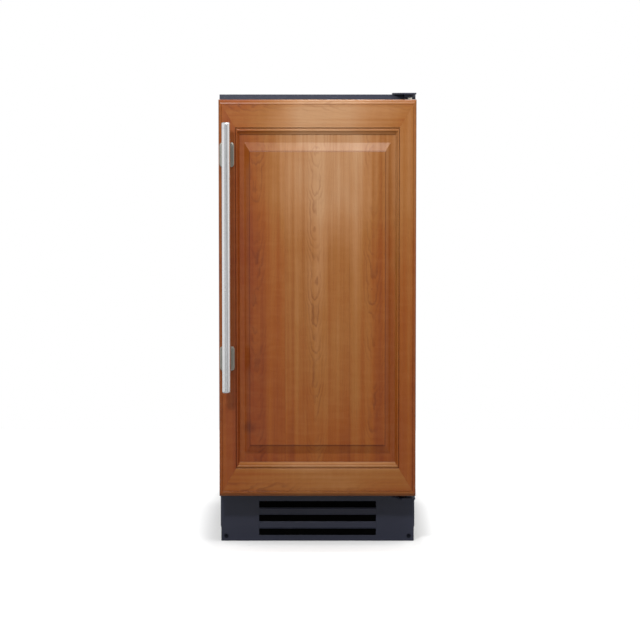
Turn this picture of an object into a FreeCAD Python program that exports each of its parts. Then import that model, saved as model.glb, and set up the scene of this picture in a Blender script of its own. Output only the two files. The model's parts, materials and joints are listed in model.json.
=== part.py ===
"""Undercounter clear-ice maker with a wooden overlay door.

The frame: +Z up, the front faces -Y, +X to the right when facing the front, and the origin
on the floor in the middle of the footprint.  All lengths are millimetres.
"""

import FreeCAD
import Part
import math
import os
import Sketcher
from FreeCAD import Placement, Rotation, Vector

doc = FreeCAD.newDocument("ice_maker")
sheet = doc.addObject("Spreadsheet::Sheet", "Dims")
X_AXIS = Vector(1, 0, 0)
Y_AXIS = Vector(0, 1, 0)
Z_AXIS = Vector(0, 0, 1)


# ---------------------------------------------------------------- sizes

class Size:
    """A length that knows its value and the spreadsheet expression that gives it."""

    def __init__(self, value, text):
        self.value = value
        self.text = text

    def _join(self, other, sign, value):
        return Size(value, f"({self.text} {sign} {size(other).text})")

    def __add__(self, other):
        return self._join(other, "+", self.value + size(other).value)

    def __sub__(self, other):
        return self._join(other, "-", self.value - size(other).value)

    def __mul__(self, other):
        return self._join(other, "*", self.value * size(other).value)

    def __truediv__(self, other):
        return self._join(other, "/", self.value / size(other).value)

    def __radd__(self, other):
        return size(other) + self

    def __rsub__(self, other):
        return size(other) - self

    def __rmul__(self, other):
        return size(other) * self

    def __neg__(self):
        return Size(-self.value, f"(0 - {self.text})")

    def __float__(self):
        return float(self.value)


def size(number):
    """A Size as it is, or a plain number as a Size."""
    if isinstance(number, Size):
        return number
    return Size(float(number), f"({float(number)!r})")


class Cells:
    """Writes driving dimensions down the sheet, one row each."""

    row = 0

    @classmethod
    def add(cls, name, value):
        cls.row += 1
        sheet.set(f"A{cls.row}", name)
        sheet.set(f"B{cls.row}", str(value))
        sheet.setAlias(f"B{cls.row}", name)
        return Size(float(value), f"Dims.{name}")


dim = Cells.add

# The whole appliance
cabinet_width = dim("cabinet_width", 378)
overall_height = dim("overall_height", 872)
overall_depth = dim("overall_depth", 665)
gauge = dim("sheet_gauge", 1.2)
side_wall = dim("side_wall", 39)
top_wall = dim("top_wall", 41)
floor_wall = dim("floor_wall", 36)
rear_wall = dim("rear_wall", 45)
liner_skin = dim("liner_skin", 2)
frame_skin = dim("front_frame_skin", 3)
base_height = dim("base_height", 28)
toe_height = dim("toe_kick_height", 96)
room_front_height = dim("machine_room_front_height", 132)
room_rear_height = dim("machine_room_rear_height", 262)
room_step = dim("machine_room_step", 96)
cover_recess = dim("service_cover_recess", 16)
clearance = dim("running_clearance", 0.05)

# The door
door_bottom = dim("door_bottom", 97)
door_height = dim("door_height", 762)
panel_thick = dim("wood_panel_thickness", 19)
door_thick = dim("door_core_thickness", 38)
gasket_gap = dim("gasket_gap", 8)
door_inset = dim("door_core_inset", 1.5)
rail_width = dim("rail_width", 66)
stile_share = dim("stile_to_rail_share", 0.6)
handle_reach = dim("handle_reach", 55)
handle_tube_d = dim("handle_tube_diameter", 16)
handle_inset = dim("handle_inset", 16)
handle_top = dim("handle_top", 816)
handle_length = dim("handle_length", 514)
bracket_spacing = dim("handle_bracket_spacing", 390)

# The hinge
hinge_plate = dim("hinge_plate_thickness", 3)
pin_radius = dim("hinge_pin_radius", 4)
pin_inset_x = dim("hinge_pin_inset_side", 11.7)
pin_inset_y = dim("hinge_pin_behind_core", 18.5)

# Planes worked out from the driving dimensions
side_x = cabinet_width / 2
y_handle = -overall_depth / 2
y_wood = y_handle + handle_reach
y_core = y_wood + panel_thick
y_core_back = y_core + door_thick
y_front = y_core_back + gasket_gap
y_shell = y_front + frame_skin
y_rear = overall_depth / 2
z_top = overall_height - hinge_plate
door_top = door_bottom + door_height
liner_x = side_x - side_wall
liner_top = z_top - top_wall
liner_floor = room_front_height + floor_wall
liner_shelf = room_rear_height + floor_wall
liner_step = room_step - floor_wall
liner_back = y_rear - rear_wall
cover_y = y_rear - cover_recess
pin_x = side_x - pin_inset_x
pin_y = y_core + pin_inset_y
inner_x = liner_x - liner_skin
inner_top = liner_top - liner_skin
inner_floor = liner_floor + liner_skin
inner_back = liner_back - liner_skin
core_x = side_x - door_inset / 2 - 0.25
room_floor = base_height + gauge


# ---------------------------------------------------------------- document helpers

kept = []


def keep(thing, name):
    """Marks an object as a finished sub-part, under the name that its file takes."""
    thing.Label = name
    kept.append(thing)
    return thing


def bind(thing, prop, number):
    """Sets a property from a Size, bound to the sheet, or from a plain number."""
    if isinstance(number, Size):
        thing.setExpression(prop, number.text)
    else:
        thing.setExpression(prop, repr(float(number)))


def place(thing, x, y, z, axis=None, angle=0):
    """Puts a primitive at a point that is bound to the sheet, turned about an axis."""
    if axis is not None:
        thing.Placement = Placement(Vector(0, 0, 0), Rotation(axis, angle))
    for key, number in zip("xyz", (x, y, z)):
        bind(thing, f"Placement.Base.{key}", number)
    return thing


def box(low, high):
    """A block between two corners."""
    made = doc.addObject("Part::Box", "block")
    for prop, a, b in zip(("Length", "Width", "Height"), low, high):
        bind(made, prop, size(b) - size(a))
    return place(made, *low)


def cylinder(start, radius, length, axis="z"):
    """A cylinder that runs from start along +x, +y or +z."""
    made = doc.addObject("Part::Cylinder", "round")
    bind(made, "Radius", radius)
    bind(made, "Height", length)
    turn = {"x": (Y_AXIS, 90), "y": (X_AXIS, -90), "z": (None, 0)}[axis]
    return place(made, *start, *turn)


def cone(start, radius_a, radius_b, length, axis="z"):
    made = doc.addObject("Part::Cone", "taper")
    bind(made, "Radius1", radius_a)
    bind(made, "Radius2", radius_b)
    bind(made, "Height", length)
    turn = {"x": (Y_AXIS, 90), "y": (X_AXIS, -90), "z": (None, 0)}[axis]
    return place(made, *start, *turn)


def fuse(*shapes):
    made = doc.addObject("Part::MultiFuse", "joined")
    made.Shapes = list(shapes)
    return made


def cut(base, *tools):
    made = doc.addObject("Part::Cut", "cut")
    made.Base = base
    made.Tool = tools[0] if len(tools) == 1 else fuse(*tools)
    return made


def common(base, tool):
    made = doc.addObject("Part::Common", "shared")
    made.Base = base
    made.Tool = tool
    return made


def group(*shapes):
    """Separate solids under one name."""
    made = doc.addObject("Part::Compound", "group")
    made.Links = list(shapes)
    return made


def soften(base, radius, wanted, kind="Part::Fillet"):
    """Rounds (or chamfers) the edges that wanted(edge) picks."""
    doc.recompute()
    picked = [i + 1 for i, edge in enumerate(base.Shape.Edges) if wanted(edge)]
    made = doc.addObject(kind, "soft")
    made.Base = base
    made.Edges = [(i, float(radius), float(radius)) for i in picked]
    return made


def straight(edge, axis):
    """True for a straight edge along an axis."""
    if edge.Curve.TypeId != "Part::GeomLine":
        return False
    return abs(abs(edge.Curve.Direction.dot(axis)) - 1) < 1e-6


def along(axis):
    return lambda edge: straight(edge, axis)


def raw(shape, name):
    """A sub-part whose shape comes straight from Part's functions."""
    made = doc.addObject("Part::Feature", name)
    made.Shape = shape
    return made


# ---------------------------------------------------------------- PartDesign helpers

def new_body():
    return doc.addObject("PartDesign::Body", "body")


def origin_plane(body, role):
    return next(f for f in body.Origin.OriginFeatures if f.Role == role)


def new_sketch(body, plane, offset=0):
    """A sketch on XY_Plane, XZ_Plane or YZ_Plane, moved along the plane's own normal."""
    made = body.newObject("Sketcher::SketchObject", "outline")
    made.AttachmentSupport = [(origin_plane(body, plane), "")]
    made.MapMode = "FlatFace"
    bind(made, "AttachmentOffset.Base.z", offset)
    return made


def pin_point(sketch, geo, pos, u, v):
    """Holds a sketch point at coordinates that are bound to the sheet."""
    for kind, number in (("DistanceX", u), ("DistanceY", v)):
        number = size(number)
        index = sketch.addConstraint(
            Sketcher.Constraint(kind, -1, 1, geo, pos, number.value)
        )
        sketch.setExpression(f"Constraints[{index}]", number.text)


def flat_point(u, v):
    return Vector(float(size(u)), float(size(v)), 0)


def via(u, v):
    """A point in an outline that the arc between its two neighbours passes through."""
    return (u, v, "via")


def polygon(sketch, points):
    """A closed outline through the given points: straight, or an arc where there is a via."""
    corners = [i for i, point in enumerate(points) if len(point) == 2]
    edges = []
    for i, start_at in enumerate(corners):
        end_at = corners[(i + 1) % len(corners)]
        start, end = flat_point(*points[start_at]), flat_point(*points[end_at])
        between = points[(start_at + 1) % len(points)]
        if len(between) == 2:
            edges.append(sketch.addGeometry(Part.LineSegment(start, end), False))
            continue
        u, v = between[:2]
        arc = sketch.addGeometry(Part.Arc(start, flat_point(u, v), end), False)
        middle = sketch.addGeometry(Part.Point(flat_point(u, v)), True)
        pin_point(sketch, middle, 1, u, v)
        sketch.addConstraint(Sketcher.Constraint("PointOnObject", middle, 1, arc))
        edges.append(arc)
    starts = [edge_start(sketch, edge, points[i]) for edge, i in zip(edges, corners)]
    for i, edge in enumerate(edges):
        after = (i + 1) % len(edges)
        sketch.addConstraint(Sketcher.Constraint(
            "Coincident", edge, 3 - starts[i], edges[after], starts[after]
        ))
    for edge, start, i in zip(edges, starts, corners):
        pin_point(sketch, edge, start, *points[i])
    return sketch


def edge_start(sketch, edge, point):
    """Which end of an edge, 1 or 2, lies at a point: a clockwise arc is stored turned round."""
    gap = sketch.getPoint(edge, 1) - flat_point(*point)
    return 1 if gap.Length < 1e-6 else 2


def rectangle(sketch, u0, v0, u1, v1):
    return polygon(sketch, [(u0, v0), (u1, v0), (u1, v1), (u0, v1)])


def hexagon(sketch, radius):
    """A regular hexagon about the sketch's origin, with a corner on its u axis."""
    turns = [math.radians(60 * i) for i in range(6)]
    return polygon(sketch, [(radius * math.cos(a), radius * math.sin(a)) for a in turns])


def circle(sketch, u, v, radius):
    r = float(size(radius))
    made = sketch.addGeometry(Part.Circle(flat_point(u, v), Z_AXIS, r), False)
    index = sketch.addConstraint(Sketcher.Constraint("Radius", made, r))
    sketch.setExpression(f"Constraints[{index}]", size(radius).text)
    pin_point(sketch, made, 3, u, v)
    return sketch


def extrude(body, sketch, length, kind="Pad", back=False, both=False):
    """A Pad or Pocket of a sketch.  A Pad goes along the plane's normal, and a Pocket against it."""
    made = body.newObject(f"PartDesign::{kind}", kind.lower())
    made.Profile = sketch
    bind(made, "Length", length)
    made.Reversed = back
    made.Midplane = both
    return made


def turned(body, sketch, axis="V_Axis", kind="Revolution"):
    """A full turn of a sketch about one of its own axes."""
    made = body.newObject(f"PartDesign::{kind}", kind.lower())
    made.Profile = sketch
    made.ReferenceAxis = (sketch, [axis])
    made.Angle = 360
    return made


def row_pattern(body, feature, role, spacing, count):
    """Repeats a feature along an origin axis."""
    made = body.newObject("PartDesign::LinearPattern", "row")
    made.Originals = [feature]
    made.Direction = (origin_plane(body, role), [""])
    bind(made, "Length", size(spacing) * (count - 1))
    made.Occurrences = count
    body.Tip = made
    return made


def ring_pattern(body, feature, role, count):
    """Repeats a feature about an origin axis."""
    made = body.newObject("PartDesign::PolarPattern", "ring")
    made.Originals = [feature]
    made.Axis = (origin_plane(body, role), [""])
    made.Angle = 360
    made.Occurrences = count
    body.Tip = made
    return made


def body_soften(body, radius, wanted, kind="Fillet"):
    """Rounds or chamfers picked edges of a body's latest feature."""
    doc.recompute()
    tip = body.Tip
    names = [f"Edge{i + 1}" for i, e in enumerate(tip.Shape.Edges) if wanted(e)]
    made = body.newObject(f"PartDesign::{kind}", kind.lower())
    made.Base = (tip, names)
    bind(made, "Radius" if kind == "Fillet" else "Size", radius)
    return made


def slide_to(body, x, y, z):
    """Moves a finished body to its place."""
    for key, number in zip("xyz", (x, y, z)):
        bind(body, f"Placement.Base.{key}", number)
    return body


# ---------------------------------------------------------------- bent tubes

def bent_path(points, bend):
    """Straight runs through the points, joined by tangent arcs of one radius."""
    points = [Vector(*(float(size(c)) for c in p)) for p in points]
    edges, start = [], points[0]
    for before, corner, after in zip(points, points[1:], points[2:]):
        a = (before - corner).normalize()
        b = (after - corner).normalize()
        half = math.acos(max(-1.0, min(1.0, a.dot(b)))) / 2
        reach = bend / math.tan(half)
        middle_way = (a + b).normalize()
        centre = corner + middle_way * (bend / math.sin(half))
        enter, leave = corner + a * reach, corner + b * reach
        middle = centre - middle_way * bend
        if (enter - start).Length > 1e-6:
            edges.append(Part.LineSegment(start, enter).toShape())
        edges.append(Part.Arc(enter, middle, leave).toShape())
        start = leave
    edges.append(Part.LineSegment(start, points[-1]).toShape())
    return Part.Wire(edges)


def bent_tube(points, radius, bend, name):
    """A round bar or filled tube along a bent path."""
    path = bent_path(points, float(bend))
    first = path.Edges[0]
    way = first.tangentAt(first.FirstParameter)
    ring = Part.Wire([Part.makeCircle(float(radius), first.Vertexes[0].Point, way)])
    solid = path.makePipeShell([ring], True, True)
    expected = math.pi * float(radius) ** 2 * path.Length
    if abs(solid.Volume - expected) > 0.02 * expected:
        raise RuntimeError(f"{name}: volume {solid.Volume:.0f}, expected {expected:.0f}")
    return solid


# ---------------------------------------------------------------- cabinet shell

# Details of the shell
toe_x = dim("toe_kick_half_width", 188)
toe_sheet = dim("toe_kick_sheet", 1.5)
toe_gap = dim("toe_kick_floor_gap", 0.5)
toe_return = dim("toe_kick_return", 10)
toe_hem = dim("toe_kick_hem", 2.9)
toe_bend = dim("toe_kick_bend_radius", 2.6)
toe_screw_inset = dim("toe_screw_inset", 10)
toe_screw_z = dim("toe_screw_height", 10.5)
toe_slot_x = dim("toe_slot_half_width", 114)
toe_slot_low = dim("toe_slot_low", 11.3)
toe_slot_height = dim("toe_slot_height", 13)
toe_pitch = dim("toe_slot_pitch", 27)
toe_bar_proud = dim("toe_bar_proud", 1.2)
head_r = dim("screw_head_radius", 4)
head_h = dim("screw_head_height", 1.8)
foot_x = dim("foot_half_spacing", 160)
foot_front_y = y_front + 22
foot_rear_y = cover_y - 30
foot_r = dim("foot_radius", 19)
foot_neck_r = dim("foot_neck_radius", 10)
hex_r = dim("foot_hexagon_radius", 9.8)
hex_height = dim("foot_hexagon_height", 10)
stem_r = dim("foot_stem_radius", 5)
stem_above = dim("foot_stem_above_base", 30)
nut_r = dim("foot_nut_radius", 10)
nut_height = dim("foot_nut_height", 8)
vent_x = dim("vent_centre", 78)
vent_length = dim("vent_length", 110)
vent_slot = dim("vent_slot", 5)
vent_low = dim("vent_low", 130)
vent_pitch = dim("vent_pitch", 12)
vent_count = 9
chase_x = dim("line_chase_x", 100)
chase_y = y_rear - 23
chase_r = dim("line_chase_radius", 12)
chase_top = dim("line_chase_top", 702)
fill_hole_r = dim("fill_hole_radius", 6)
fill_top = dim("fill_hole_top", 646)
drain_y = dim("bin_drain_y", 20)
drain_r = dim("bin_drain_radius", 11)
inlet_x = dim("water_inlet_x", -130)
inlet_z = dim("water_inlet_height", 95)
inlet_hole_r = dim("water_inlet_hole_radius", 15)
outlet_x = dim("drain_outlet_x", 70)
outlet_z = dim("drain_outlet_height", 58)
outlet_hole_r = dim("drain_outlet_hole_radius", 9.5)
gland_x = dim("cord_gland_x", 140)
gland_z = dim("cord_gland_height", 80)
gland_hole_r = dim("cord_gland_hole_radius", 8)


def build_wrap():
    """One painted steel sheet folded over the left side, the top and the right side."""
    body = new_body()
    profile = new_sketch(body, "XZ_Plane", -y_rear)
    x, z, low = side_x, z_top, base_height
    inner = x - gauge
    polygon(profile, [
        (-x, low), (-inner, low), (-inner, z - gauge), (inner, z - gauge),
        (inner, low), (x, low), (x, z), (-x, z),
    ])
    extrude(body, profile, y_rear - y_shell)
    corner = lambda e: straight(e, Y_AXIS) and e.Vertexes[0].Z > z.value - 0.01
    body_soften(body, gauge, corner)
    return keep(body, "cabinet_wrap")


def build_foam():
    """Foam between the wrap and the liner, stepped over the machine room."""
    body = new_body()
    block = new_sketch(body, "YZ_Plane")
    back, top = y_rear - gauge, z_top - gauge
    polygon(block, [
        (y_shell, room_front_height), (room_step, room_front_height),
        (room_step, room_rear_height), (back, room_rear_height),
        (back, top), (y_shell, top),
    ])
    extrude(body, block, (side_x - gauge) * 2, both=True)
    hollow = new_sketch(body, "YZ_Plane")
    polygon(hollow, [
        (y_shell, liner_floor), (liner_step, liner_floor), (liner_step, liner_shelf),
        (liner_back, liner_shelf), (liner_back, liner_top), (y_shell, liner_top),
    ])
    extrude(body, hollow, liner_x * 2, "Pocket", both=True)
    ducts = []
    for x, r, top in ((chase_x, chase_r, chase_top), (-chase_x, fill_hole_r, fill_top)):
        low = room_rear_height - 1
        ducts.append(box((x - r, chase_y - r, low), (x + r, chase_y + r, top)))
        ducts.append(box((x - r, liner_back - 1, top - r * 2), (x + r, chase_y, top)))
    drain = cylinder((0, drain_y, room_front_height - 1), drain_r, floor_wall + 2)
    return keep(cut(body, drain, *ducts), "insulation_foam")


def build_liner():
    """The moulded storage liner: a stepped tub with its mouth at the front."""
    body = new_body()
    block = new_sketch(body, "YZ_Plane")
    polygon(block, [
        (y_shell, liner_floor), (liner_step, liner_floor), (liner_step, liner_shelf),
        (liner_back, liner_shelf), (liner_back, liner_top), (y_shell, liner_top),
    ])
    extrude(body, block, liner_x * 2, both=True)
    outer_corner = lambda e: (
        straight(e, X_AXIS) and e.Vertexes[0].Y > y_shell.value + 1
        and not (e.Vertexes[0].Y < liner_step.value + 1
                 and e.Vertexes[0].Z > liner_shelf.value - 1)
    )
    body_soften(body, 6, outer_corner)
    hollow = new_sketch(body, "YZ_Plane")
    skin = liner_skin
    polygon(hollow, [
        (y_shell - 5, inner_floor), (liner_step - skin, inner_floor),
        (liner_step - skin, liner_shelf + skin), (inner_back, liner_shelf + skin),
        (inner_back, inner_top), (y_shell - 5, inner_top),
    ])
    extrude(body, hollow, inner_x * 2, "Pocket", both=True)
    inside = lambda e: (
        straight(e, X_AXIS) and abs(e.Length - inner_x.value * 2) < 0.1
        and e.Vertexes[0].Y > y_shell.value + 1
    )
    body_soften(body, 4, inside)
    drain = cylinder((0, drain_y, liner_floor - 1), drain_r, liner_skin + 2)
    line_hole = cylinder((chase_x, inner_back - 1, chase_top - chase_r), chase_r, 4, "y")
    fill_hole = cylinder((-chase_x, inner_back - 1, fill_top - fill_hole_r), fill_hole_r, 4, "y")
    return keep(cut(body, drain, line_hole, fill_hole), "inner_liner")


def build_front_frame():
    """The flat frame that the door's gasket closes on."""
    outer = box((-side_x, y_front, toe_height + 1), (side_x, y_shell, z_top))
    mouth = box((-inner_x, y_front - 1, inner_floor), (inner_x, y_shell + 1, inner_top))
    frame = cut(outer, mouth)
    corners = lambda e: straight(e, Y_AXIS) and abs(e.Vertexes[0].X) < inner_x.value + 1
    return keep(soften(frame, 8, corners), "front_frame")


def build_rear_panels():
    """The upper back sheet, and the vented cover over the machine room."""
    x = side_x - gauge
    upper = box((-x, y_rear - gauge, room_rear_height), (x, y_rear, z_top - gauge))
    keep(upper, "rear_panel")

    body = new_body()
    face = new_sketch(body, "XZ_Plane", -cover_y - gauge)
    rectangle(face, -x, base_height, x, room_rear_height)
    extrude(body, face, gauge)
    for centre_x in (-vent_x, vent_x):
        slot = new_sketch(body, "XZ_Plane", -cover_y - gauge - 1)
        rectangle(
            slot, centre_x - vent_length / 2, vent_low,
            centre_x + vent_length / 2, vent_low + vent_slot,
        )
        louvre = extrude(body, slot, gauge + 2, "Pocket", back=True)
        row_pattern(body, louvre, "Z_Axis", vent_pitch, vent_count)
    holes = [
        cylinder((x, cover_y - 1, z), r, gauge + 2, "y")
        for x, z, r in (
            (inlet_x, inlet_z, inlet_hole_r), (outlet_x, outlet_z, outlet_hole_r),
            (gland_x, gland_z, gland_hole_r),
        )
    ]
    keep(cut(body, *holes), "service_cover")


def screw(point, way):
    """A pan head with a cross recess, standing out of point along -y or +y."""
    x, y, z = point
    sign = 1 if way == "+y" else -1
    head = cylinder((x, y if sign > 0 else y - head_h, z), head_r, head_h, "y")
    top = y + head_h * sign
    recess = []
    depth = head_h * 0.6
    low = top - depth if sign > 0 else top - 1
    for half_x, half_z in ((head_r * 0.6, 0.5), (0.5, head_r * 0.6)):
        recess.append(box(
            (x - half_x, low, z - half_z), (x + half_x, low + depth + 1, z + half_z)
        ))
    return cut(head, *recess)


def build_base():
    """The base tray, with the weld nuts that the feet screw into."""
    x = side_x - gauge
    tray = box((-x, y_front + 6, base_height), (x, cover_y, base_height + 16))
    inside = box(
        (-x - 1, y_front + 6 + gauge, base_height + gauge),
        (x + 1, cover_y - gauge, base_height + 20),
    )
    corners = [(sx, y) for sx in (-foot_x, foot_x) for y in (foot_front_y, foot_rear_y)]
    holes = [
        cylinder((sx, y, base_height - 1), stem_r + clearance, nut_height + 5)
        for sx, y in corners
    ]
    nuts = []
    for sx, y in corners:
        body = new_body()
        outline = new_sketch(body, "XY_Plane")
        hexagon(outline, nut_r)
        extrude(body, outline, nut_height)
        nuts.append(slide_to(body, sx, y, base_height + gauge))
    keep(cut(fuse(cut(tray, inside), *nuts), *holes), "base_pan")


def build_foot(name, x, y):
    """A levelling foot: pad, hexagon collar and threaded stem, turned about its own axis."""
    body = new_body()
    half = new_sketch(body, "XZ_Plane")
    rise = base_height + stem_above
    polygon(half, [
        (0, 0), (foot_r - 2, 0), via(foot_r - 0.6, 0.6), (foot_r, 2), (foot_r, 5),
        via(foot_r - 2.6, 8), (foot_neck_r, 11), (foot_neck_r, 14), (stem_r, 15),
        (stem_r, rise - 1), (stem_r - 1, rise), (0, rise),
    ])
    turned(body, half)
    collar = new_sketch(body, "XY_Plane", base_height - hex_height - 0.2)
    hexagon(collar, hex_r)
    extrude(body, collar, hex_height)
    slide_to(body, x, y, 0)
    return keep(body, name)


def toe_outline(sign, skin):
    """One end of the kick plate's plan: its hem and bend, at that depth in from the outside."""
    radius = toe_bend - skin
    corner_x, corner_y = (toe_x - toe_bend) * sign, y_front + toe_bend
    slant = radius * math.sqrt(0.5)
    return [
        ((toe_x - skin) * sign, y_front + toe_hem), ((toe_x - skin) * sign, corner_y),
        via(corner_x + slant * sign, corner_y - slant), (corner_x, y_front + skin),
    ]


def build_toe_kick():
    """The vented kick plate: hemmed sides, three long slots and raised bars between them."""
    body = new_body()
    plan = new_sketch(body, "XY_Plane", toe_gap)
    polygon(plan, toe_outline(1, 0) + toe_outline(-1, 0)[::-1]
            + toe_outline(-1, toe_sheet) + toe_outline(1, toe_sheet)[::-1])
    extrude(body, plan, toe_height - toe_gap)
    for sx in (-1, 1):
        fold = new_sketch(body, "XY_Plane", toe_gap)
        rectangle(fold, sx * toe_x, y_front + toe_bend, sx * (toe_x - toe_sheet),
                  y_front + toe_return)
        extrude(body, fold, base_height - 1 - toe_gap)
    slot = new_sketch(body, "XZ_Plane", -y_front + 5)
    rectangle(
        slot, -toe_slot_x, toe_slot_low, toe_slot_x, toe_slot_low + toe_slot_height
    )
    opening = extrude(body, slot, 10 + toe_sheet, "Pocket")
    row_pattern(body, opening, "Z_Axis", toe_pitch, 3)
    bars = []
    for k in range(2):
        z = toe_slot_low + toe_slot_height + toe_pitch * k
        bar = box(
            (-toe_slot_x, y_front - toe_bar_proud, z + 1),
            (toe_slot_x, y_front, z + toe_pitch - toe_slot_height - 1),
        )
        front = lambda e: straight(e, X_AXIS) and e.Vertexes[0].Y < y_front.value - 0.1
        bars.append(soften(bar, toe_bar_proud * 0.9, front, "Part::Chamfer"))
    keep(fuse(body, *bars), "toe_kick_grille")


def build_cover_screws():
    """Cross-recess screws: two in the kick plate and four in the service cover."""
    made = []
    for sx in (-1, 1):
        made.append(screw((sx * (toe_x - toe_screw_inset), y_front, toe_screw_z), "-y"))
        for z in (base_height + 10, room_rear_height - 10):
            made.append(screw((sx * (side_x - 12), cover_y + gauge, z), "+y"))
    keep(group(*made), "cover_screws")


# ---------------------------------------------------------------- door

panel_face = dim("panel_recess_depth", 9)
panel_step = dim("panel_step_depth", 2.2)
field_depth = dim("panel_field_depth", 1.0)
door_skin = dim("door_pan_skin", 1)
liner_plate = dim("door_liner_plate", 4)
bush_r = dim("hinge_bush_radius", 6.5)
bush_length = dim("hinge_bush_length", 24)
bush_flange = dim("hinge_bush_flange", 2)
bush_flange_r = dim("hinge_bush_flange_radius", 9)
dish_x = dim("door_dish_half_width", 132)
dish_low = dim("door_dish_low", 200)
dish_high = dim("door_dish_high", 765)
dish_proud = dim("door_dish_proud", 14)
gasket_x = dim("gasket_half_width", 174)
gasket_low = dim("gasket_low", 112)
gasket_high = dim("gasket_high", 846)
seal_gap = dim("gasket_seal_gap", 0.4)
cap_length = dim("handle_cap_length", 11)
tube_wall = dim("handle_tube_wall", 1.5)
bracket_w = dim("handle_bracket_width", 28)
bracket_h = dim("handle_bracket_height", 47)
bracket_foot = dim("handle_bracket_foot", 6)
post_w = dim("handle_post_width", 12)
post_h = dim("handle_post_height", 36)
bolt_r = dim("handle_bolt_radius", 2.5)
groove_depth = dim("frame_groove_depth", 9)
tongue_lap = dim("panel_tongue_lap", 8.5)
bevel_start = dim("panel_bevel_start", 16)
field_start = dim("panel_field_start", 33)


def wood_profile(share):
    """Half section of a frame member: distance in from the outer edge, and depth from the face.

    The horizontal scale is share, so that rails and the narrower stiles meet along one mitre.
    """
    inner = rail_width
    section = [
        (0, 5), via(2.9, 2), (8.9, 0.4), (9.4, 1.1), (10.2, 1.1), (10.6, 0),
        (inner - 13, 0), (inner - 12.3, 2.2), (inner - 10.6, 2.4),
        via(inner - 8.2, 0.5), (inner - 5.6, 1.6), via(inner - 2.8, 4.8), (inner, 6.9),
        (inner, panel_face), (inner - groove_depth, panel_face),
        (inner - groove_depth, panel_thick),
        (0, panel_thick),
    ]
    return [(size(v) * share, size(d), *arc) for v, d, *arc in section]


def build_frame_members():
    """Two rails and two stiles, each a moulded length of wood cut to the mitre line."""
    x, low, high = side_x, door_bottom, door_top
    inner_x_line = x - rail_width * stile_share
    wedges = {
        "top_rail": [(-x, high), (x, high), (inner_x_line, high - rail_width),
                     (-inner_x_line, high - rail_width)],
        "bottom_rail": [(-x, low), (x, low), (inner_x_line, low + rail_width),
                        (-inner_x_line, low + rail_width)],
        "left_stile": [(-x, low), (-x, high), (-inner_x_line, high - rail_width),
                       (-inner_x_line, low + rail_width)],
        "right_stile": [(x, low), (x, high), (inner_x_line, high - rail_width),
                        (inner_x_line, low + rail_width)],
    }
    for name, outline in wedges.items():
        body = new_body()
        if name.endswith("rail"):
            edge, sign = (high, -1) if name == "top_rail" else (low, 1)
            section = new_sketch(body, "YZ_Plane")
            across = wood_profile(1)
            polygon(section, [(y_wood + d, edge + v * sign, *arc) for v, d, *arc in across])
            extrude(body, section, cabinet_width, both=True)
        else:
            edge, sign = (x, -1) if name == "right_stile" else (-x, 1)
            section = new_sketch(body, "XY_Plane", low)
            across = wood_profile(stile_share)
            polygon(section, [(edge + v * sign, y_wood + d, *arc) for v, d, *arc in across])
            extrude(body, section, door_height)
        wedge = new_body()
        plan = new_sketch(wedge, "XZ_Plane", -y_core)
        polygon(plan, outline)
        extrude(wedge, plan, panel_thick)
        keep(common(body, wedge), name)


def build_raised_panel():
    """The raised centre panel: a tongue all round, a wide bevel and a stepped field."""
    body = new_body()
    share = stile_share
    gap = rail_width - tongue_lap
    inner = rail_width + bevel_start
    field = rail_width + field_start

    def ring(sketch, inset):
        rectangle(
            sketch, -(side_x - inset * share), door_bottom + inset,
            side_x - inset * share, door_top - inset,
        )

    tongue = new_sketch(body, "XZ_Plane", -y_core)
    ring(tongue, gap)
    extrude(body, tongue, panel_thick - panel_face)
    lower = new_sketch(body, "XZ_Plane", -y_wood - panel_face)
    ring(lower, inner)
    upper = new_sketch(body, "XZ_Plane", -y_wood - panel_step)
    ring(upper, field)
    bevel = body.newObject("PartDesign::AdditiveLoft", "bevel")
    bevel.Profile = lower
    bevel.Sections = [upper]
    raised = new_sketch(body, "XZ_Plane", -y_wood - panel_step)
    ring(raised, field + 0.6)
    extrude(body, raised, panel_step - field_depth)
    return keep(body, "raised_panel")


def bush_holes(low, high):
    """The two holes on the pin line, at the bottom and the top of the door's core."""
    return [
        cylinder((pin_x, pin_y, start), bush_r, bush_length + 1)
        for start in (low - 1, high - bush_length)
    ]


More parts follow.
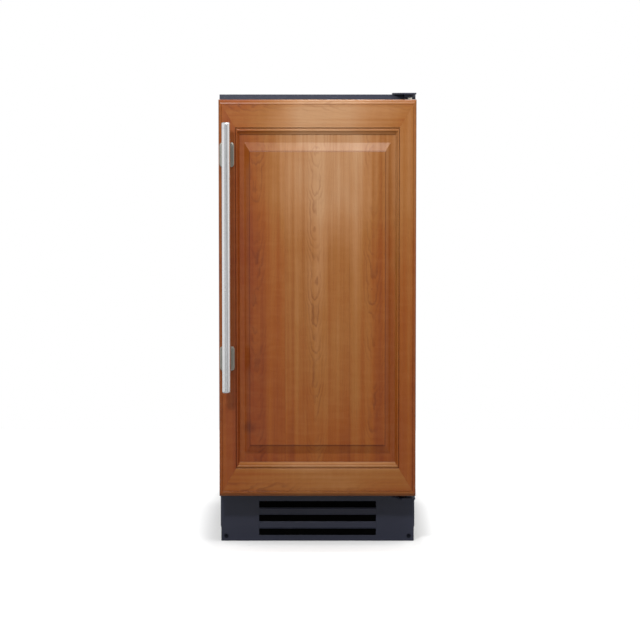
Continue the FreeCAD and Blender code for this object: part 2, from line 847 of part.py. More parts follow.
def build_door_core():
    """The steel door pan, its foam, its back liner, the hinge bushes and the gasket."""
    low, high = door_bottom + door_inset, door_top - door_inset
    skin = door_skin
    y_pan_back = y_core_back - liner_plate
    pan = box((-core_x, y_core, low), (core_x, y_pan_back, high))
    pan = soften(pan, 2.5, lambda e: straight(e, Y_AXIS))
    inside = box(
        (-core_x + skin, y_core + skin, low + skin),
        (core_x - skin, y_pan_back + 1, high - skin),
    )
    keep(cut(pan, inside, *bush_holes(low, high)), "door_pan")
    foam = box(
        (-core_x + skin, y_core + skin, low + skin),
        (core_x - skin, y_pan_back, high - skin),
    )
    keep(cut(foam, *bush_holes(low, high)), "door_foam")

    bushes = []
    for start, flange_z in ((low, low - bush_flange), (high - bush_length, high)):
        sleeve = cylinder((pin_x, pin_y, start), bush_r, bush_length)
        flange = cylinder((pin_x, pin_y, flange_z), bush_flange_r, bush_flange)
        bore = cylinder((pin_x, pin_y, low - 10), pin_radius + clearance, high - low + 20)
        bushes.append(cut(fuse(sleeve, flange), bore))
    keep(group(*bushes), "door_bushes")

    plate = box((-core_x, y_pan_back, low), (core_x, y_core_back, high))
    plate = soften(plate, 2.5, lambda e: straight(e, Y_AXIS))
    dish = box(
        (-dish_x, y_core_back - 1, dish_low), (dish_x, y_core_back + dish_proud, dish_high)
    )
    dish = soften(dish, 9, lambda e: straight(e, Y_AXIS))
    rim = lambda e: e.CenterOfMass.y > y_core_back.value + dish_proud.value - 0.01
    dish = soften(dish, 5, rim)
    hollow = box(
        (-dish_x + 6, y_pan_back, dish_low + 6),
        (dish_x - 6, y_core_back + dish_proud - 3, dish_high - 6),
    )
    groove = frame_ring(gasket_x + 1.5, gasket_low - 1.5, gasket_high + 1.5, 15,
                        y_core_back - 0.8, y_core_back + 1)
    keep(cut(fuse(plate, dish), hollow, groove), "door_liner")

    base = frame_ring(gasket_x, gasket_low, gasket_high, 12, y_core_back - 0.8, y_core_back + 3)
    lip = frame_ring(gasket_x - 2, gasket_low + 2, gasket_high - 2, 8,
                     y_core_back + 3, y_front - seal_gap)
    keep(fuse(base, lip), "door_gasket")


def frame_ring(half_x, low, high, width, y_a, y_b):
    """A rectangular ring in the plane of the door."""
    outer = box((-half_x, y_a, low), (half_x, y_b, high))
    inner = box((-(size(half_x) - width), size(y_a) - 1, size(low) + width),
                (size(half_x) - width, size(y_b) + 1, size(high) - width))
    return cut(outer, inner)


def build_handle():
    """A tube across two stand-off brackets, with a cap in each end."""
    x = -side_x + handle_inset
    radius = handle_tube_d / 2
    y = y_handle + radius
    low = handle_top - handle_length

    tube = new_body()
    ring = new_sketch(tube, "XY_Plane", low + cap_length)
    circle(ring, 0, 0, radius)
    circle(ring, 0, 0, radius - tube_wall)
    extrude(tube, ring, handle_length - cap_length * 2)
    slide_to(tube, x, y, 0)
    keep(tube, "handle_tube")

    caps = []
    for way in (1, -1):
        body = new_body()
        half = new_sketch(body, "XZ_Plane")
        polygon(half, [
            (0, -8), (radius - tube_wall, -8), (radius - tube_wall, 0), (radius - 0.35, 0),
            (radius, 0.35), (radius, cap_length - 3), via(radius - 0.9, cap_length - 0.9),
            (radius - 3, cap_length), (0, cap_length),
        ])
        turned(body, half)
        if way > 0:
            slide_to(body, x, y, handle_top - cap_length)
        else:
            body.Placement = Placement(Vector(0, 0, 0), Rotation(X_AXIS, 180))
            slide_to(body, x, y, low + cap_length)
        caps.append(body)
    keep(group(*caps), "handle_end_caps")

    middle = handle_top - handle_length / 2
    brackets = []
    for sign in (1, -1):
        z = middle + bracket_spacing / 2 * sign
        foot = box(
            (x - bracket_w / 2, y_wood - bracket_foot, z - bracket_h / 2),
            (x + bracket_w / 2, y_wood, z + bracket_h / 2),
        )
        foot = soften(foot, 6, lambda e: straight(e, Y_AXIS))
        front_rim = lambda e: e.CenterOfMass.y < (y_wood - bracket_foot).value + 0.01
        foot = soften(foot, 1.5, front_rim)
        post = box(
            (x - post_w / 2, y, z - post_h / 2), (x + post_w / 2, y_wood - 2, z + post_h / 2)
        )
        post = soften(post, 4.5, lambda e: straight(e, Y_AXIS))
        seat = cylinder((x, y, z - bracket_h), radius, bracket_h * 2)
        brackets.append(cut(fuse(foot, post), seat))
    keep(group(*brackets), "handle_brackets")
    bolts = []
    for sign in (1, -1):
        z = middle + bracket_spacing / 2 * sign
        bolts.append(cylinder((x, y_wood - 14, z), bolt_r, panel_thick + 14, "y"))
    keep(group(*bolts), "handle_bolts")


# ---------------------------------------------------------------- hinges

hinge_width = dim("hinge_width", 44)
boss_r = dim("hinge_boss_radius", 10)
boss_drop = dim("hinge_boss_drop", 6)
pin_drop = dim("hinge_pin_drop", 30)
low_plate_z = dim("low_hinge_height", 88)
flange_thick = dim("low_hinge_flange", 2.5)
flange_top = dim("low_hinge_flange_top", 109)
screw_z = dim("low_hinge_screw_height", 100)
hinge_screw_spots = ((10, 20), (34, 20), (22, 48))


def build_hinges():
    """A bracket on the cabinet's top and one under the door, each with its pin."""
    left = side_x - hinge_width
    nose = pin_y - 22

    body = new_body()
    plan = new_sketch(body, "XY_Plane", z_top)
    polygon(plan, [
        (left, y_front + 62), (left, y_front - 4), (left + 18, nose),
        (side_x - 3, nose), (side_x, nose + 3), (side_x, y_front + 62),
    ])
    extrude(body, plan, hinge_plate)
    boss = cylinder((pin_x, pin_y, z_top - boss_drop), boss_r, boss_drop)
    bore = cylinder((pin_x, pin_y, z_top - 20), pin_radius, 40)
    sinks = []
    for dx, dy in hinge_screw_spots:
        sinks.append(cone((left + dx, y_front + dy, overall_height - 2), 2.2, 4.4, 2.2))
        sinks.append(cylinder((left + dx, y_front + dy, z_top - 1), 2.2, hinge_plate + 1))
    upper = cut(fuse(body, boss), bore, *sinks)

    lower = new_body()
    plan = new_sketch(lower, "XY_Plane", low_plate_z)
    polygon(plan, [
        (left, y_front), (left, y_front - 8), (left + 18, nose),
        (side_x - 3, nose), (side_x, nose + 3), (side_x, y_front),
    ])
    extrude(lower, plan, hinge_plate)
    flange = box((left, y_front - flange_thick, low_plate_z), (side_x, y_front, flange_top))
    boss = cylinder((pin_x, pin_y, low_plate_z), boss_r - 2, door_bottom - low_plate_z - 1.5)
    bore = cylinder((pin_x, pin_y, low_plate_z - 5), pin_radius, 40)
    holes = []
    for dx in (10, 34):
        holes.append(
            cone((left + dx, y_front - flange_thick - 0.2, screw_z), 4.4, 2.2, 2.2, "y")
        )
        holes.append(cylinder((left + dx, y_front - 5, screw_z), 2.2, 8, "y"))
    lower = cut(fuse(lower, flange, boss), bore, *holes)
    keep(group(upper, lower), "hinge_brackets")

    pins = [
        (z_top - pin_drop, overall_height - z_top + pin_drop),
        (low_plate_z, pin_drop),
    ]
    made = []
    for z, length in pins:
        pin = cylinder((pin_x, pin_y, z), pin_radius, length)
        made.append(soften(pin, 0.8, lambda e: e.Curve.TypeId == "Part::GeomCircle",
                           "Part::Chamfer"))
    keep(group(*made), "hinge_pins")

    screws = []
    for dx, dy in hinge_screw_spots:
        head = cone((left + dx, y_front + dy, overall_height - 2), 2.2, 4.2, 2)
        shank = cylinder((left + dx, y_front + dy, z_top - 8), 2.2, 8 + hinge_plate - 2)
        screws.append(fuse(head, shank))
    for dx in (10, 34):
        head = cone((left + dx, y_front - flange_thick, screw_z), 4.2, 2.2, 2, "y")
        shank = cylinder(
            (left + dx, y_front - flange_thick + 2, screw_z), 2.2, flange_thick + 6, "y"
        )
        screws.append(fuse(head, shank))
    keep(group(*screws), "hinge_screws")


# ---------------------------------------------------------------- ice making

evap_x = dim("evaporator_half_width", 120)
evap_length = dim("evaporator_length", 220)
evap_y = dim("evaporator_centre_y", 150)
evap_z = dim("evaporator_centre_height", 690)
evap_tilt = 20
coil_r = dim("evaporator_tube_radius", 4.8)
grid_x = dim("grid_half_width", 128)
grid_front = y_front + 52
grid_back = dim("grid_back_y", 8)
grid_z = dim("grid_height", 590)
grid_depth = dim("grid_frame_depth", 14)
wire_r = dim("grid_wire_radius", 0.6)
trough_x = dim("trough_half_width", 130)
trough_front = dim("trough_front_y", 16)
trough_back = dim("trough_back_y", 126)
trough_z = dim("trough_height", 545)
trough_top = dim("trough_top", 605)
pump_x = dim("pump_x", 93)
pump_y = dim("pump_y", 70)
nipple_top = dim("pump_nipple_top", 576)
spout_shift = dim("pump_spout_shift", 22.5)
dist_x = dim("distributor_half_width", 108)
dist_y = dim("distributor_y", 262)
dist_z = dim("distributor_height", 758)
dist_r = dim("distributor_radius", 9)
guard_y = y_front + 12
guard_top = dim("bin_guard_top", 330)
scoop_x = dim("scoop_x", -141)
scoop_y = dim("scoop_y", -150)
scoop_w = dim("scoop_width", 46)
scoop_d = dim("scoop_depth", 78)
scoop_l = dim("scoop_bowl_length", 122)
holder_z = dim("scoop_holder_height", 236)
holder_h = dim("scoop_holder_depth", 66)
scoop_grip = dim("scoop_grip_length", 96)
control_x = dim("control_half_width", 146)
control_z = dim("control_height", 786)
control_y = y_front + 14
control_depth = dim("control_depth", 62)
control_skin = dim("control_skin", 2.5)
glass_left = dim("display_left", -70)
glass_right = dim("display_right", 10)
glass_height = dim("display_height", 20)
glass_proud = dim("display_proud", 0.2)
lamp_x = dim("lamp_half_width", 95)
lamp_depth = dim("lamp_depth", 22)
lamp_height = dim("lamp_height", 9)
key_x = dim("key_first_x", 42)
key_pitch = dim("key_pitch", 28)
key_z = dim("key_height", 806)
key_r = dim("key_radius", 8)
key_depth = dim("key_depth", 11)
key_proud = dim("key_proud", 2.5)


def build_evaporator():
    """The tilted freezing plate, with the refrigerant tube soldered under it."""
    tilt = Placement(Vector(0, evap_y.value, evap_z.value), Rotation(X_AXIS, evap_tilt))
    half_x, half_y = evap_x, evap_length / 2
    plate = box((-half_x, -half_y, 0), (half_x, half_y, 3))
    left_rail = box((-half_x, -half_y, 0), (-half_x + 4, half_y, 16))
    right_rail = box((half_x - 4, -half_y, 0), (half_x, half_y, 16))
    dam = box((-half_x, half_y - 4, 0), (half_x, half_y, 16))
    pitch = (half_x * 2 - 8) / 6
    ribs = []
    for k in range(1, 6):
        x = -half_x + 4 + pitch * k
        ribs.append(box((x, -half_y + 6, 3), (x + 1.5, half_y - 4, 6)))
    whole = fuse(plate, left_rail, right_rail, dam, *ribs)
    whole.Placement = tilt
    keep(whole, "evaporator_plate")

    passes = 6
    lane = (half_y * 2 - 40) / (passes - 1)
    points = []
    for k in range(passes):
        y = (lane * k - half_y + 20).value
        ends = (22 - half_x.value, half_x.value - 22)
        if k % 2 == 0:
            ends = ends[::-1]
        points += [tilt.multVec(Vector(end, y, -coil_r.value)) for end in ends]
    solid = bent_tube(points, coil_r, lane.value / 2 * 0.98, "evaporator coil")
    keep(raw(solid, "coil"), "evaporator_coil")


def build_cutter_grid():
    """The frame in front of the plate, strung with the heated wires that cut the slab."""
    low, high = (-grid_x, grid_front, grid_z), (grid_x, grid_back, grid_z + grid_depth)
    outer = box(low, high)
    inner = box((-grid_x + 9, grid_front + 9, grid_z - 1),
                (grid_x - 9, grid_back - 9, grid_z + grid_depth + 1))
    ears = [
        box((-inner_x, grid_front + 20, grid_z), (-grid_x + 1, grid_back - 20, grid_z + 4)),
        box((grid_x - 1, grid_front + 20, grid_z), (inner_x, grid_back - 20, grid_z + 4)),
    ]
    frame = cut(fuse(outer, *ears), inner)
    keep(soften(frame, 2, lambda e: straight(e, Z_AXIS)), "cutter_grid_frame")

    z_low = grid_z + 6
    z_high = z_low + wire_r * 2 + 0.1
    x0, y0 = -grid_x + 9, grid_front + 9
    width, depth = grid_x * 2 - 18, grid_back - grid_front - 18
    columns, rows = 9, 6
    wires = [
        cylinder((x0 + width * k / columns, y0, z_low), wire_r, depth, "y")
        for k in range(1, columns)
    ]
    wires += [
        cylinder((x0, y0 + depth * k / rows, z_high), wire_r, width, "x")
        for k in range(1, rows)
    ]
    keep(group(*wires), "cutter_grid_wires")


def build_trough():
    """The sump under the plate's lower edge, hung from the liner's side walls."""
    outer = box((-trough_x, trough_front, trough_z), (trough_x, trough_back, trough_top))
    outer = soften(outer, 6, lambda e: e.CenterOfMass.z < trough_z.value + 0.1)
    skin = 2.5
    inner = box((-trough_x + skin, trough_front + skin, trough_z + skin),
                (trough_x - skin, trough_back - skin, trough_top + 1))
    inner = soften(inner, 4, lambda e: e.CenterOfMass.z < trough_z.value + skin + 0.1)
    hangers = [
        box((x0, trough_front + 8, trough_top - 4), (x1, trough_back - 8, trough_top))
        for x0, x1 in ((-inner_x, -trough_x + 1), (trough_x - 1, inner_x))
    ]
    keep(cut(fuse(outer, *hangers), inner), "water_trough")


def build_pump():
    """The circulation pump: motor above the water, impeller housing near the trough's floor."""
    x, y = pump_x, pump_y
    low = trough_z + 4.5
    volute = cylinder((x, y, low), 22, 18)
    spout = box((x + 12, y + 10, low + 3), (x + 28, y + 35, low + 13))
    nipple = cylinder((x + spout_shift, y + 30, low + 8), 5, nipple_top - low - 8)
    feet = [
        cylinder((x + 17 * math.cos(a), y + 17 * math.sin(a), trough_z + 2.5), 2.5, 3)
        for a in (0.5, 2.6, 4.7)
    ]
    stem = cylinder((x, y, low + 17), 9, trough_top - low - 17)
    flange = box((x - 26, trough_front, trough_top), (x + 14, trough_back, trough_top + 3))
    motor = soften(cylinder((x, y, trough_top + 3), 23, 30), 3,
                   lambda e: e.CenterOfMass.z > trough_top.value + 32)
    chamber = cylinder((x, y, low + 2), 18, 12)
    eye = cylinder((x, y, low - 1), 8, 5)
    shaft_bore = cylinder((x, y, low + 12), 3.2, trough_top - low - 12)
    keep(cut(fuse(volute, spout, nipple, *feet, stem, flange, motor), chamber, eye, shaft_bore),
         "circulation_pump")

    body = new_body()
    disc = new_sketch(body, "XY_Plane", low + 4)
    circle(disc, 0, 0, 7)
    extrude(body, disc, 9)
    shaft = new_sketch(body, "XY_Plane", low + 12)
    circle(shaft, 0, 0, 2.5)
    extrude(body, shaft, trough_top - low - 14)
    vane = new_sketch(body, "XY_Plane", low + 4)
    rectangle(vane, 4, -1, 16, 1)
    blade = extrude(body, vane, 8)
    ring_pattern(body, blade, "Z_Axis", 6)
    slide_to(body, x, y, 0)
    keep(body, "pump_impeller")


def build_distributor():
    """The drilled tube that floods the plate, and the hose that feeds it from the pump."""
    tube = cylinder((-dist_x, dist_y, dist_z), dist_r, dist_x * 2, "x")
    lugs = [
        box((sx - 5, dist_y, dist_z - 5), (sx + 5, inner_back, dist_z + 5))
        for sx in (-90, 90)
    ]
    spouts = []
    for k in range(11):
        x = -100 + 20 * k
        hole = doc.addObject("Part::Cylinder", "hole")
        hole.Radius = 1.5
        hole.Height = 14
        place(hole, x, dist_y, dist_z, X_AXIS, 135)
        spouts.append(hole)
    keep(cut(fuse(tube, *lugs), *spouts), "water_distributor")


def build_water_hoses():
    """Pump to distributor, water valve to trough, and bin drain to the rear outlet."""
    rise_x, rise_y = pump_x + spout_shift, pump_y + 30
    side = inner_x - 11
    supply = [
        (rise_x, rise_y, nipple_top), (rise_x, rise_y, nipple_top + 30),
        (side, rise_y + 18, nipple_top + 66), (side, rise_y + 90, nipple_top + 118),
        (side, dist_y, dist_z), (dist_x, dist_y, dist_z),
    ]
    fill_z = fill_top - fill_hole_r
    valve_y = cover_y - 6
    fill = [
        (inlet_x, valve_y, inlet_z + 18), (inlet_x, valve_y, room_rear_height - 26),
        (-chase_x, chase_y, room_rear_height - 26), (-chase_x, chase_y, fill_z),
        (-chase_x, trough_back - 14, fill_z), (-chase_x, trough_back - 14, trough_top - 5),
    ]
    drain = [
        (0, drain_y, room_front_height - 12), (0, drain_y, outlet_z + 16),
        (outlet_x - 10, drain_y + 58, outlet_z + 8), (outlet_x, drain_y + 130, outlet_z),
        (outlet_x, cover_y - 14, outlet_z),
    ]
    hoses = [
        raw(bent_tube(supply, 5.5, 13, "supply hose"), "supply"),
        raw(bent_tube(fill, 3.2, 7, "fill hose"), "fill"),
        raw(bent_tube(drain, 8, 20, "drain hose"), "drain"),
    ]
    keep(group(*hoses), "water_hoses")


def build_bin():
    """The guard across the bin's mouth, the drain grid, and the scoop's holder."""
    guard = box((-inner_x, guard_y, inner_floor), (inner_x, guard_y + 4, guard_top))
    lip = box((-inner_x, guard_y - 3, guard_top - 10), (inner_x, guard_y + 7, guard_top))
    lip = soften(lip, 2.5, lambda e: straight(e, X_AXIS))
    keep(fuse(guard, lip), "bin_guard")

    flange = cylinder((0, drain_y, inner_floor), 16, 2)
    pipe_low = room_front_height - 12
    pipe = cylinder((0, drain_y, pipe_low), drain_r - 1, inner_floor - pipe_low + 1)
    bore = cylinder((0, drain_y, room_front_height - 20), drain_r - 3, 80)
    bars = []
    for k in range(3):
        y = drain_y - 6.5 + 6 * k
        bars.append(box((-9, y, inner_floor), (9, y + 1.5, inner_floor + 2)))
    inside = fuse(cut(fuse(flange, pipe), bore), *bars)
    stub = cylinder((outlet_x, cover_y - 14, outlet_z), outlet_r, y_rear - cover_y + 14, "y")
    flange = cylinder((outlet_x, cover_y + gauge, outlet_z), outlet_r + 4, 2, "y")
    outlet_bore = cylinder((outlet_x, cover_y - 15, outlet_z), outlet_r - 2, 50, "y")
    keep(group(inside, cut(fuse(stub, flange), outlet_bore)), "drain_fittings")

    x0 = -inner_x
    x1 = scoop_x + scoop_w + 4
    y0, y1 = scoop_y - 4, scoop_y + scoop_d + 4
    outer = box((x0, y0, holder_z), (x1, y1, holder_z + holder_h))
    outer = soften(outer, 5, lambda e: straight(e, Z_AXIS) and e.Vertexes[0].X > x0.value + 1)
    inner = box((x0 + 3, y0 + 2.5, holder_z + 3), (x1 - 2.5, y1 - 2.5, holder_z + holder_h + 1))
    back = box((x0, y0 + 10, holder_z + holder_h - 1), (x0 + 3, y1 - 10, holder_z + holder_h + 40))
    window = box((x1 - 4, y0 + 20, holder_z + 15), (x1 + 1, y1 - 20, holder_z + holder_h - 14))
    keep(cut(fuse(outer, back), inner, window), "scoop_holder")


def build_scoop():
    """The ice scoop, hanging mouth down in its holder."""
    z = holder_z + 3
    skin = 2.2
    bowl = box((scoop_x, scoop_y, z), (scoop_x + scoop_w, scoop_y + scoop_d, z + scoop_l))
    back = lambda e: straight(e, Z_AXIS) and e.Vertexes[0].X < scoop_x.value + 1
    bowl = soften(bowl, 14, back)
    hollow = box(
        (scoop_x + skin, scoop_y + skin, z - 1),
        (scoop_x + scoop_w + 1, scoop_y + scoop_d - skin, z + scoop_l - skin),
    )
    inner_back = lambda e: straight(e, Z_AXIS) and e.Vertexes[0].X < scoop_x.value + 4
    hollow = soften(hollow, 12, inner_back)
    rake = new_body()
    side = new_sketch(rake, "XZ_Plane")
    polygon(side, [
        (scoop_x + scoop_w + 1, z - 1), (scoop_x + scoop_w + 1, z + 46), (scoop_x + 20, z - 1),
    ])
    extrude(rake, side, 600, both=True)
    middle = scoop_y + scoop_d / 2
    grip_x = scoop_x + 14
    grip = cylinder((grip_x, middle, z + scoop_l - 1), 9, scoop_grip)
    grip = soften(grip, 6, lambda e: e.CenterOfMass.z > (z + scoop_l).value + 20)
    neck = cylinder((grip_x, middle, z + scoop_l - 1), 12, 9)
    hang = cylinder((grip_x, middle - 20, z + scoop_l + scoop_grip - 16), 3.5, 40, "y")
    keep(cut(fuse(cut(bowl, hollow, rake), grip, neck), hang), "ice_scoop")


def build_controls():
    """The control housing under the liner's ceiling: window, keys, and the lamp behind it."""
    y = control_y
    housing = box((-control_x, y, control_z), (control_x, y + control_depth, inner_top))
    under = lambda e: straight(e, X_AXIS) and e.CenterOfMass.z < control_z.value + 1
    housing = soften(housing, 5, under)
    glass_low = (glass_left, y - glass_proud, key_z - glass_height / 2)
    glass_high = (glass_right, y + 2.5, key_z + glass_height / 2)
    window = box((glass_left, y - 1, key_z - glass_height / 2), glass_high)
    bores = [
        cylinder((key_x + key_pitch * k, y - 1, key_z), key_r + 0.4, key_depth + 3, "y")
        for k in range(3)
    ]
    hollow = box(
        (-control_x + control_skin, y + key_depth + 4, control_z + control_skin),
        (control_x - control_skin, y + control_depth - control_skin, inner_top + 1),
    )
    keep(cut(housing, window, hollow, *bores), "control_housing")
    keep(box(glass_low, glass_high), "display_window")
    for k, name in enumerate(("power_key", "clean_key", "light_key")):
        x = key_x + key_pitch * k
        key = cylinder((x, y - key_proud, key_z), key_r, key_depth, "y")
        key = soften(key, 1.2, lambda e: e.CenterOfMass.y < (y - key_proud).value + 0.01)
        keep(key, name)
    lamp_y, lamp_z = y + control_depth + 8, inner_top - lamp_height
    lamp = box((-lamp_x, lamp_y, lamp_z), (lamp_x, lamp_y + lamp_depth, inner_top))
    keep(soften(lamp, 6, lambda e: e.CenterOfMass.z < lamp_z.value + 0.1), "lamp_lens")


# ---------------------------------------------------------------- machine room

cond_x = dim("condenser_half_width", 104)
cond_shift = dim("condenser_shift", -44)
cond_front = y_front + 26
cond_back = y_front + 64
cond_low = dim("condenser_low", 36)
cond_high = dim("condenser_high", 128)
fan_bore = dim("fan_bore", 44)
comp_x = dim("compressor_x", -40)
comp_y = dim("compressor_y", 212)
comp_z = dim("compressor_height", 44)
comp_r = dim("compressor_radius", 72)
comp_tall = dim("compressor_shell_height", 159)
room_low_z = dim("discharge_low_height", 112)
valve_x = dim("hot_gas_valve_x", 150)
valve_y = dim("hot_gas_valve_y", 150)
valve_z = dim("hot_gas_valve_height", 170)
drier_x = dim("drier_x", 96)
drier_y = dim("drier_y", 132)
drier_low = dim("drier_low", 110)
drier_top = dim("drier_top", 200)
inlet_r = dim("water_inlet_radius", 13.2)
inlet_bore_r = dim("water_inlet_bore_radius", 9)
outlet_r = dim("drain_outlet_radius", 9.2)
gland_bore_r = dim("cord_gland_bore_radius", 4.2)
gland_flange_r = dim("cord_gland_flange_radius", 12)
gland_flange = dim("cord_gland_flange", 5)
wiring_left = dim("wiring_box_left", 92)
wiring_front = dim("wiring_box_front", -40)
wiring_length = dim("wiring_box_length", 100)
wiring_top = dim("wiring_box_top", 122)


def build_condenser():
    """Tube-and-fin condenser behind the kick plate, with the fan's shroud on its back."""
    x0, x1 = -cond_x + cond_shift, cond_x + cond_shift
    z0, z1 = cond_low, cond_high
    count = 36
    fins = []
    for k in range(count):
        x = x0 + (x1 - x0 - 0.5) * k / (count - 1)
        fins.append(box((x, cond_front, z0), (x + 0.5, cond_back, z1)))
    keep(group(*fins), "condenser_fins")

    rows, bend = 4, ((z1 - z0) / 4 / 2).value
    points = []
    middle = (cond_front + cond_back).value / 2
    for k in range(rows):
        z = z0.value + (z1 - z0).value * (k + 0.5) / rows
        ends = (x0.value - 16, x1.value + 16)
        if k % 2:
            ends = ends[::-1]
        points += [(end, middle, z) for end in ends]
    keep(raw(bent_tube(points, 4, bend * 0.98, "condenser_tube"), "condenser_tube"),
         "condenser_tube")

    fan_x = cond_shift
    fan_z = (z0 + z1) / 2
    plate = box((x0, cond_back + 1, z0), (x1, cond_back + 3, z1))
    throat = cylinder((fan_x, cond_back - 5, fan_z), fan_bore, 60, "y")
    collar = cylinder((fan_x, cond_back + 1, fan_z), fan_bore + 2, 26, "y")
    shroud = cut(fuse(plate, collar), throat)
    arms = []
    for angle in (90, 210, 330):
        arm = doc.addObject("Part::Box", "arm")
        arm.Length, arm.Width, arm.Height = 24, 3, 7
        a = math.radians(angle)
        turn = Rotation(Y_AXIS, -angle)
        start = Vector(fan_x.value, (cond_back + 24).value, fan_z.value)
        start += turn.multVec(Vector(21, 0, -3.5))
        arm.Placement = Placement(start, turn)
        arms.append(arm)
    seat = cut(cylinder((fan_x, cond_back + 24, fan_z), 23, 8, "y"),
               cylinder((fan_x, cond_back + 20, fan_z), 20, 20, "y"))
    keep(fuse(shroud, *arms, seat), "fan_shroud")

    can = soften(cylinder((fan_x, cond_back + 24, fan_z), 20, 34, "y"), 3,
                 lambda e: e.CenterOfMass.y > (cond_back + 50).value)
    shaft = cylinder((fan_x, cond_back + 10, fan_z), 2.5, 15, "y")
    keep(fuse(can, shaft), "fan_motor")

    body = new_body()
    hub = new_sketch(body, "XZ_Plane", 0)
    circle(hub, 0, 0, 14)
    circle(hub, 0, 0, 2.5 + clearance)
    extrude(body, hub, 14, back=True)
    root = new_sketch(body, "YZ_Plane", 12)
    polygon(root, [(1, -9), (2.4, -9), (12.4, 9), (11, 9)])
    tip = new_sketch(body, "YZ_Plane", fan_bore - 5)
    polygon(tip, [(3, -15), (4.2, -15), (10.4, 15), (9.2, 15)])
    blade = body.newObject("PartDesign::AdditiveLoft", "blade")
    blade.Profile = root
    blade.Sections = [tip]
    ring_pattern(body, blade, "Y_Axis", 5)
    slide_to(body, fan_x, cond_back + 6, fan_z)
    keep(body, "fan_blade")


def build_compressor():
    """The welded compressor on its plate and rubber mounts, with the pipes that leave it."""
    body = new_body()
    half = new_sketch(body, "XZ_Plane")
    r = comp_r
    polygon(half, [
        (0, 0), (r - 20, 0), via(r - 8, 5), (r - 3, 17), (r - 3, 70), (r, 71), (r, 80),
        (r - 3, 81), (r - 3, 116), via(r - 12, 141), (r - 36, 156), (0, comp_tall),
    ])
    turned(body, half)
    slide_to(body, comp_x, comp_y, comp_z)
    box_cover = box(
        (comp_x + r - 12, comp_y - 22, comp_z + 84), (comp_x + r + 18, comp_y + 22, comp_z + 122)
    )
    box_cover = soften(box_cover, 3, lambda e: straight(e, X_AXIS))
    plate = box((comp_x - 78, comp_y - 62, comp_z - 2.5), (comp_x + 78, comp_y + 62, comp_z + 0.5))
    plate = soften(plate, 12, lambda e: straight(e, Z_AXIS))
    spots = [(sx, sy) for sx in (-66, 66) for sy in (-50, 50)]
    holes = [cylinder((comp_x + sx, comp_y + sy, comp_z - 5), 6, 10) for sx, sy in spots]
    keep(cut(fuse(body, plate, box_cover), *holes), "compressor")
    mounts = []
    for sx, sy in spots:
        at = (comp_x + sx, comp_y + sy)
        low = cylinder((*at, room_floor), 9, comp_z - 2.5 - room_floor)
        neck = cylinder((*at, comp_z - 3), 5.9, 5)
        cap = cylinder((*at, comp_z + 0.5), 8.5, 3)
        mounts.append(fuse(low, neck, cap))
    keep(group(*mounts), "compressor_mounts")


def build_refrigerant_pipes():
    """The brazed copper circuit: suction, liquid and discharge pipes, drier and hot-gas valve."""
    top = comp_z + comp_tall
    wall_y = inner_back - 6
    pipe_z = chase_top - chase_r
    suction = [
        (comp_x + 30, comp_y + 10, top - 12), (comp_x + 30, comp_y + 10, top + 24),
        (chase_x + 5, chase_y - 3, top + 24), (chase_x + 5, chase_y - 3, pipe_z + 3),
        (chase_x + 5, wall_y, pipe_z + 3),
    ]
    turn_z = room_rear_height - 16
    liquid = [
        (drier_x, drier_y, drier_top + 10), (drier_x, drier_y, turn_z),
        (chase_x - 6, chase_y + 4, turn_z), (chase_x - 6, chase_y + 4, pipe_z - 4),
        (chase_x - 6, wall_y, pipe_z - 4),
    ]
    side = cond_shift - cond_x - 10
    back = room_step + 24
    discharge = [
        (comp_x - 40, comp_y - 20, top - 18), (comp_x - 40, comp_y - 20, top + 12),
        (side, comp_y - 20, top + 12), (side, back, top + 12), (side, back, room_low_z),
        (side, y_front + 110, room_low_z),
    ]
    pipes = [
        raw(bent_tube(suction, 4.2, 9, "suction pipe"), "suction"),
        raw(bent_tube(liquid, 2.4, 7, "liquid pipe"), "liquid"),
        raw(bent_tube(discharge, 3.2, 9, "discharge pipe"), "discharge"),
    ]
    can = cylinder((drier_x, drier_y, drier_low), 11, drier_top - drier_low)
    cap_a = cone((drier_x, drier_y, drier_low - 12), 4, 11, 12)
    cap_b = cone((drier_x, drier_y, drier_top), 11, 3, 10)
    block = cylinder((valve_x - 22, valve_y, valve_z), 8, 44, "x")
    stem = cylinder((valve_x, valve_y, valve_z), 6, 18)
    coil = box(
        (valve_x - 16, valve_y - 14, valve_z + 14), (valve_x + 16, valve_y + 14, valve_z + 44)
    )
    coil = soften(coil, 4, along(Z_AXIS))
    drier, valve = fuse(can, cap_a, cap_b), fuse(block, stem, coil)
    keep(group(*pipes, drier, valve), "refrigerant_pipes")


def build_water_valve():
    """The solenoid water valve, whose threaded inlet stands in the back cover."""
    y0 = cover_y - 42
    body = soften(box((inlet_x - 18, y0, inlet_z - 18), (inlet_x + 18, cover_y - 1, inlet_z + 18)),
                  4, along(Y_AXIS))
    spigot = cylinder((inlet_x, cover_y - 2, inlet_z), inlet_r, y_rear - cover_y + 2, "y")
    spigot = soften(spigot, 1, lambda e: e.CenterOfMass.y > y_rear.value - 0.1, "Part::Chamfer")
    coil = soften(box((inlet_x - 15, y0 + 4, inlet_z + 17), (inlet_x + 15, y0 + 32, inlet_z + 50)),
                  4, along(Z_AXIS))
    bore = cylinder((inlet_x, cover_y - 12, inlet_z), inlet_bore_r, y_rear - cover_y + 20, "y")
    keep(cut(fuse(body, spigot, coil), bore), "water_valve")


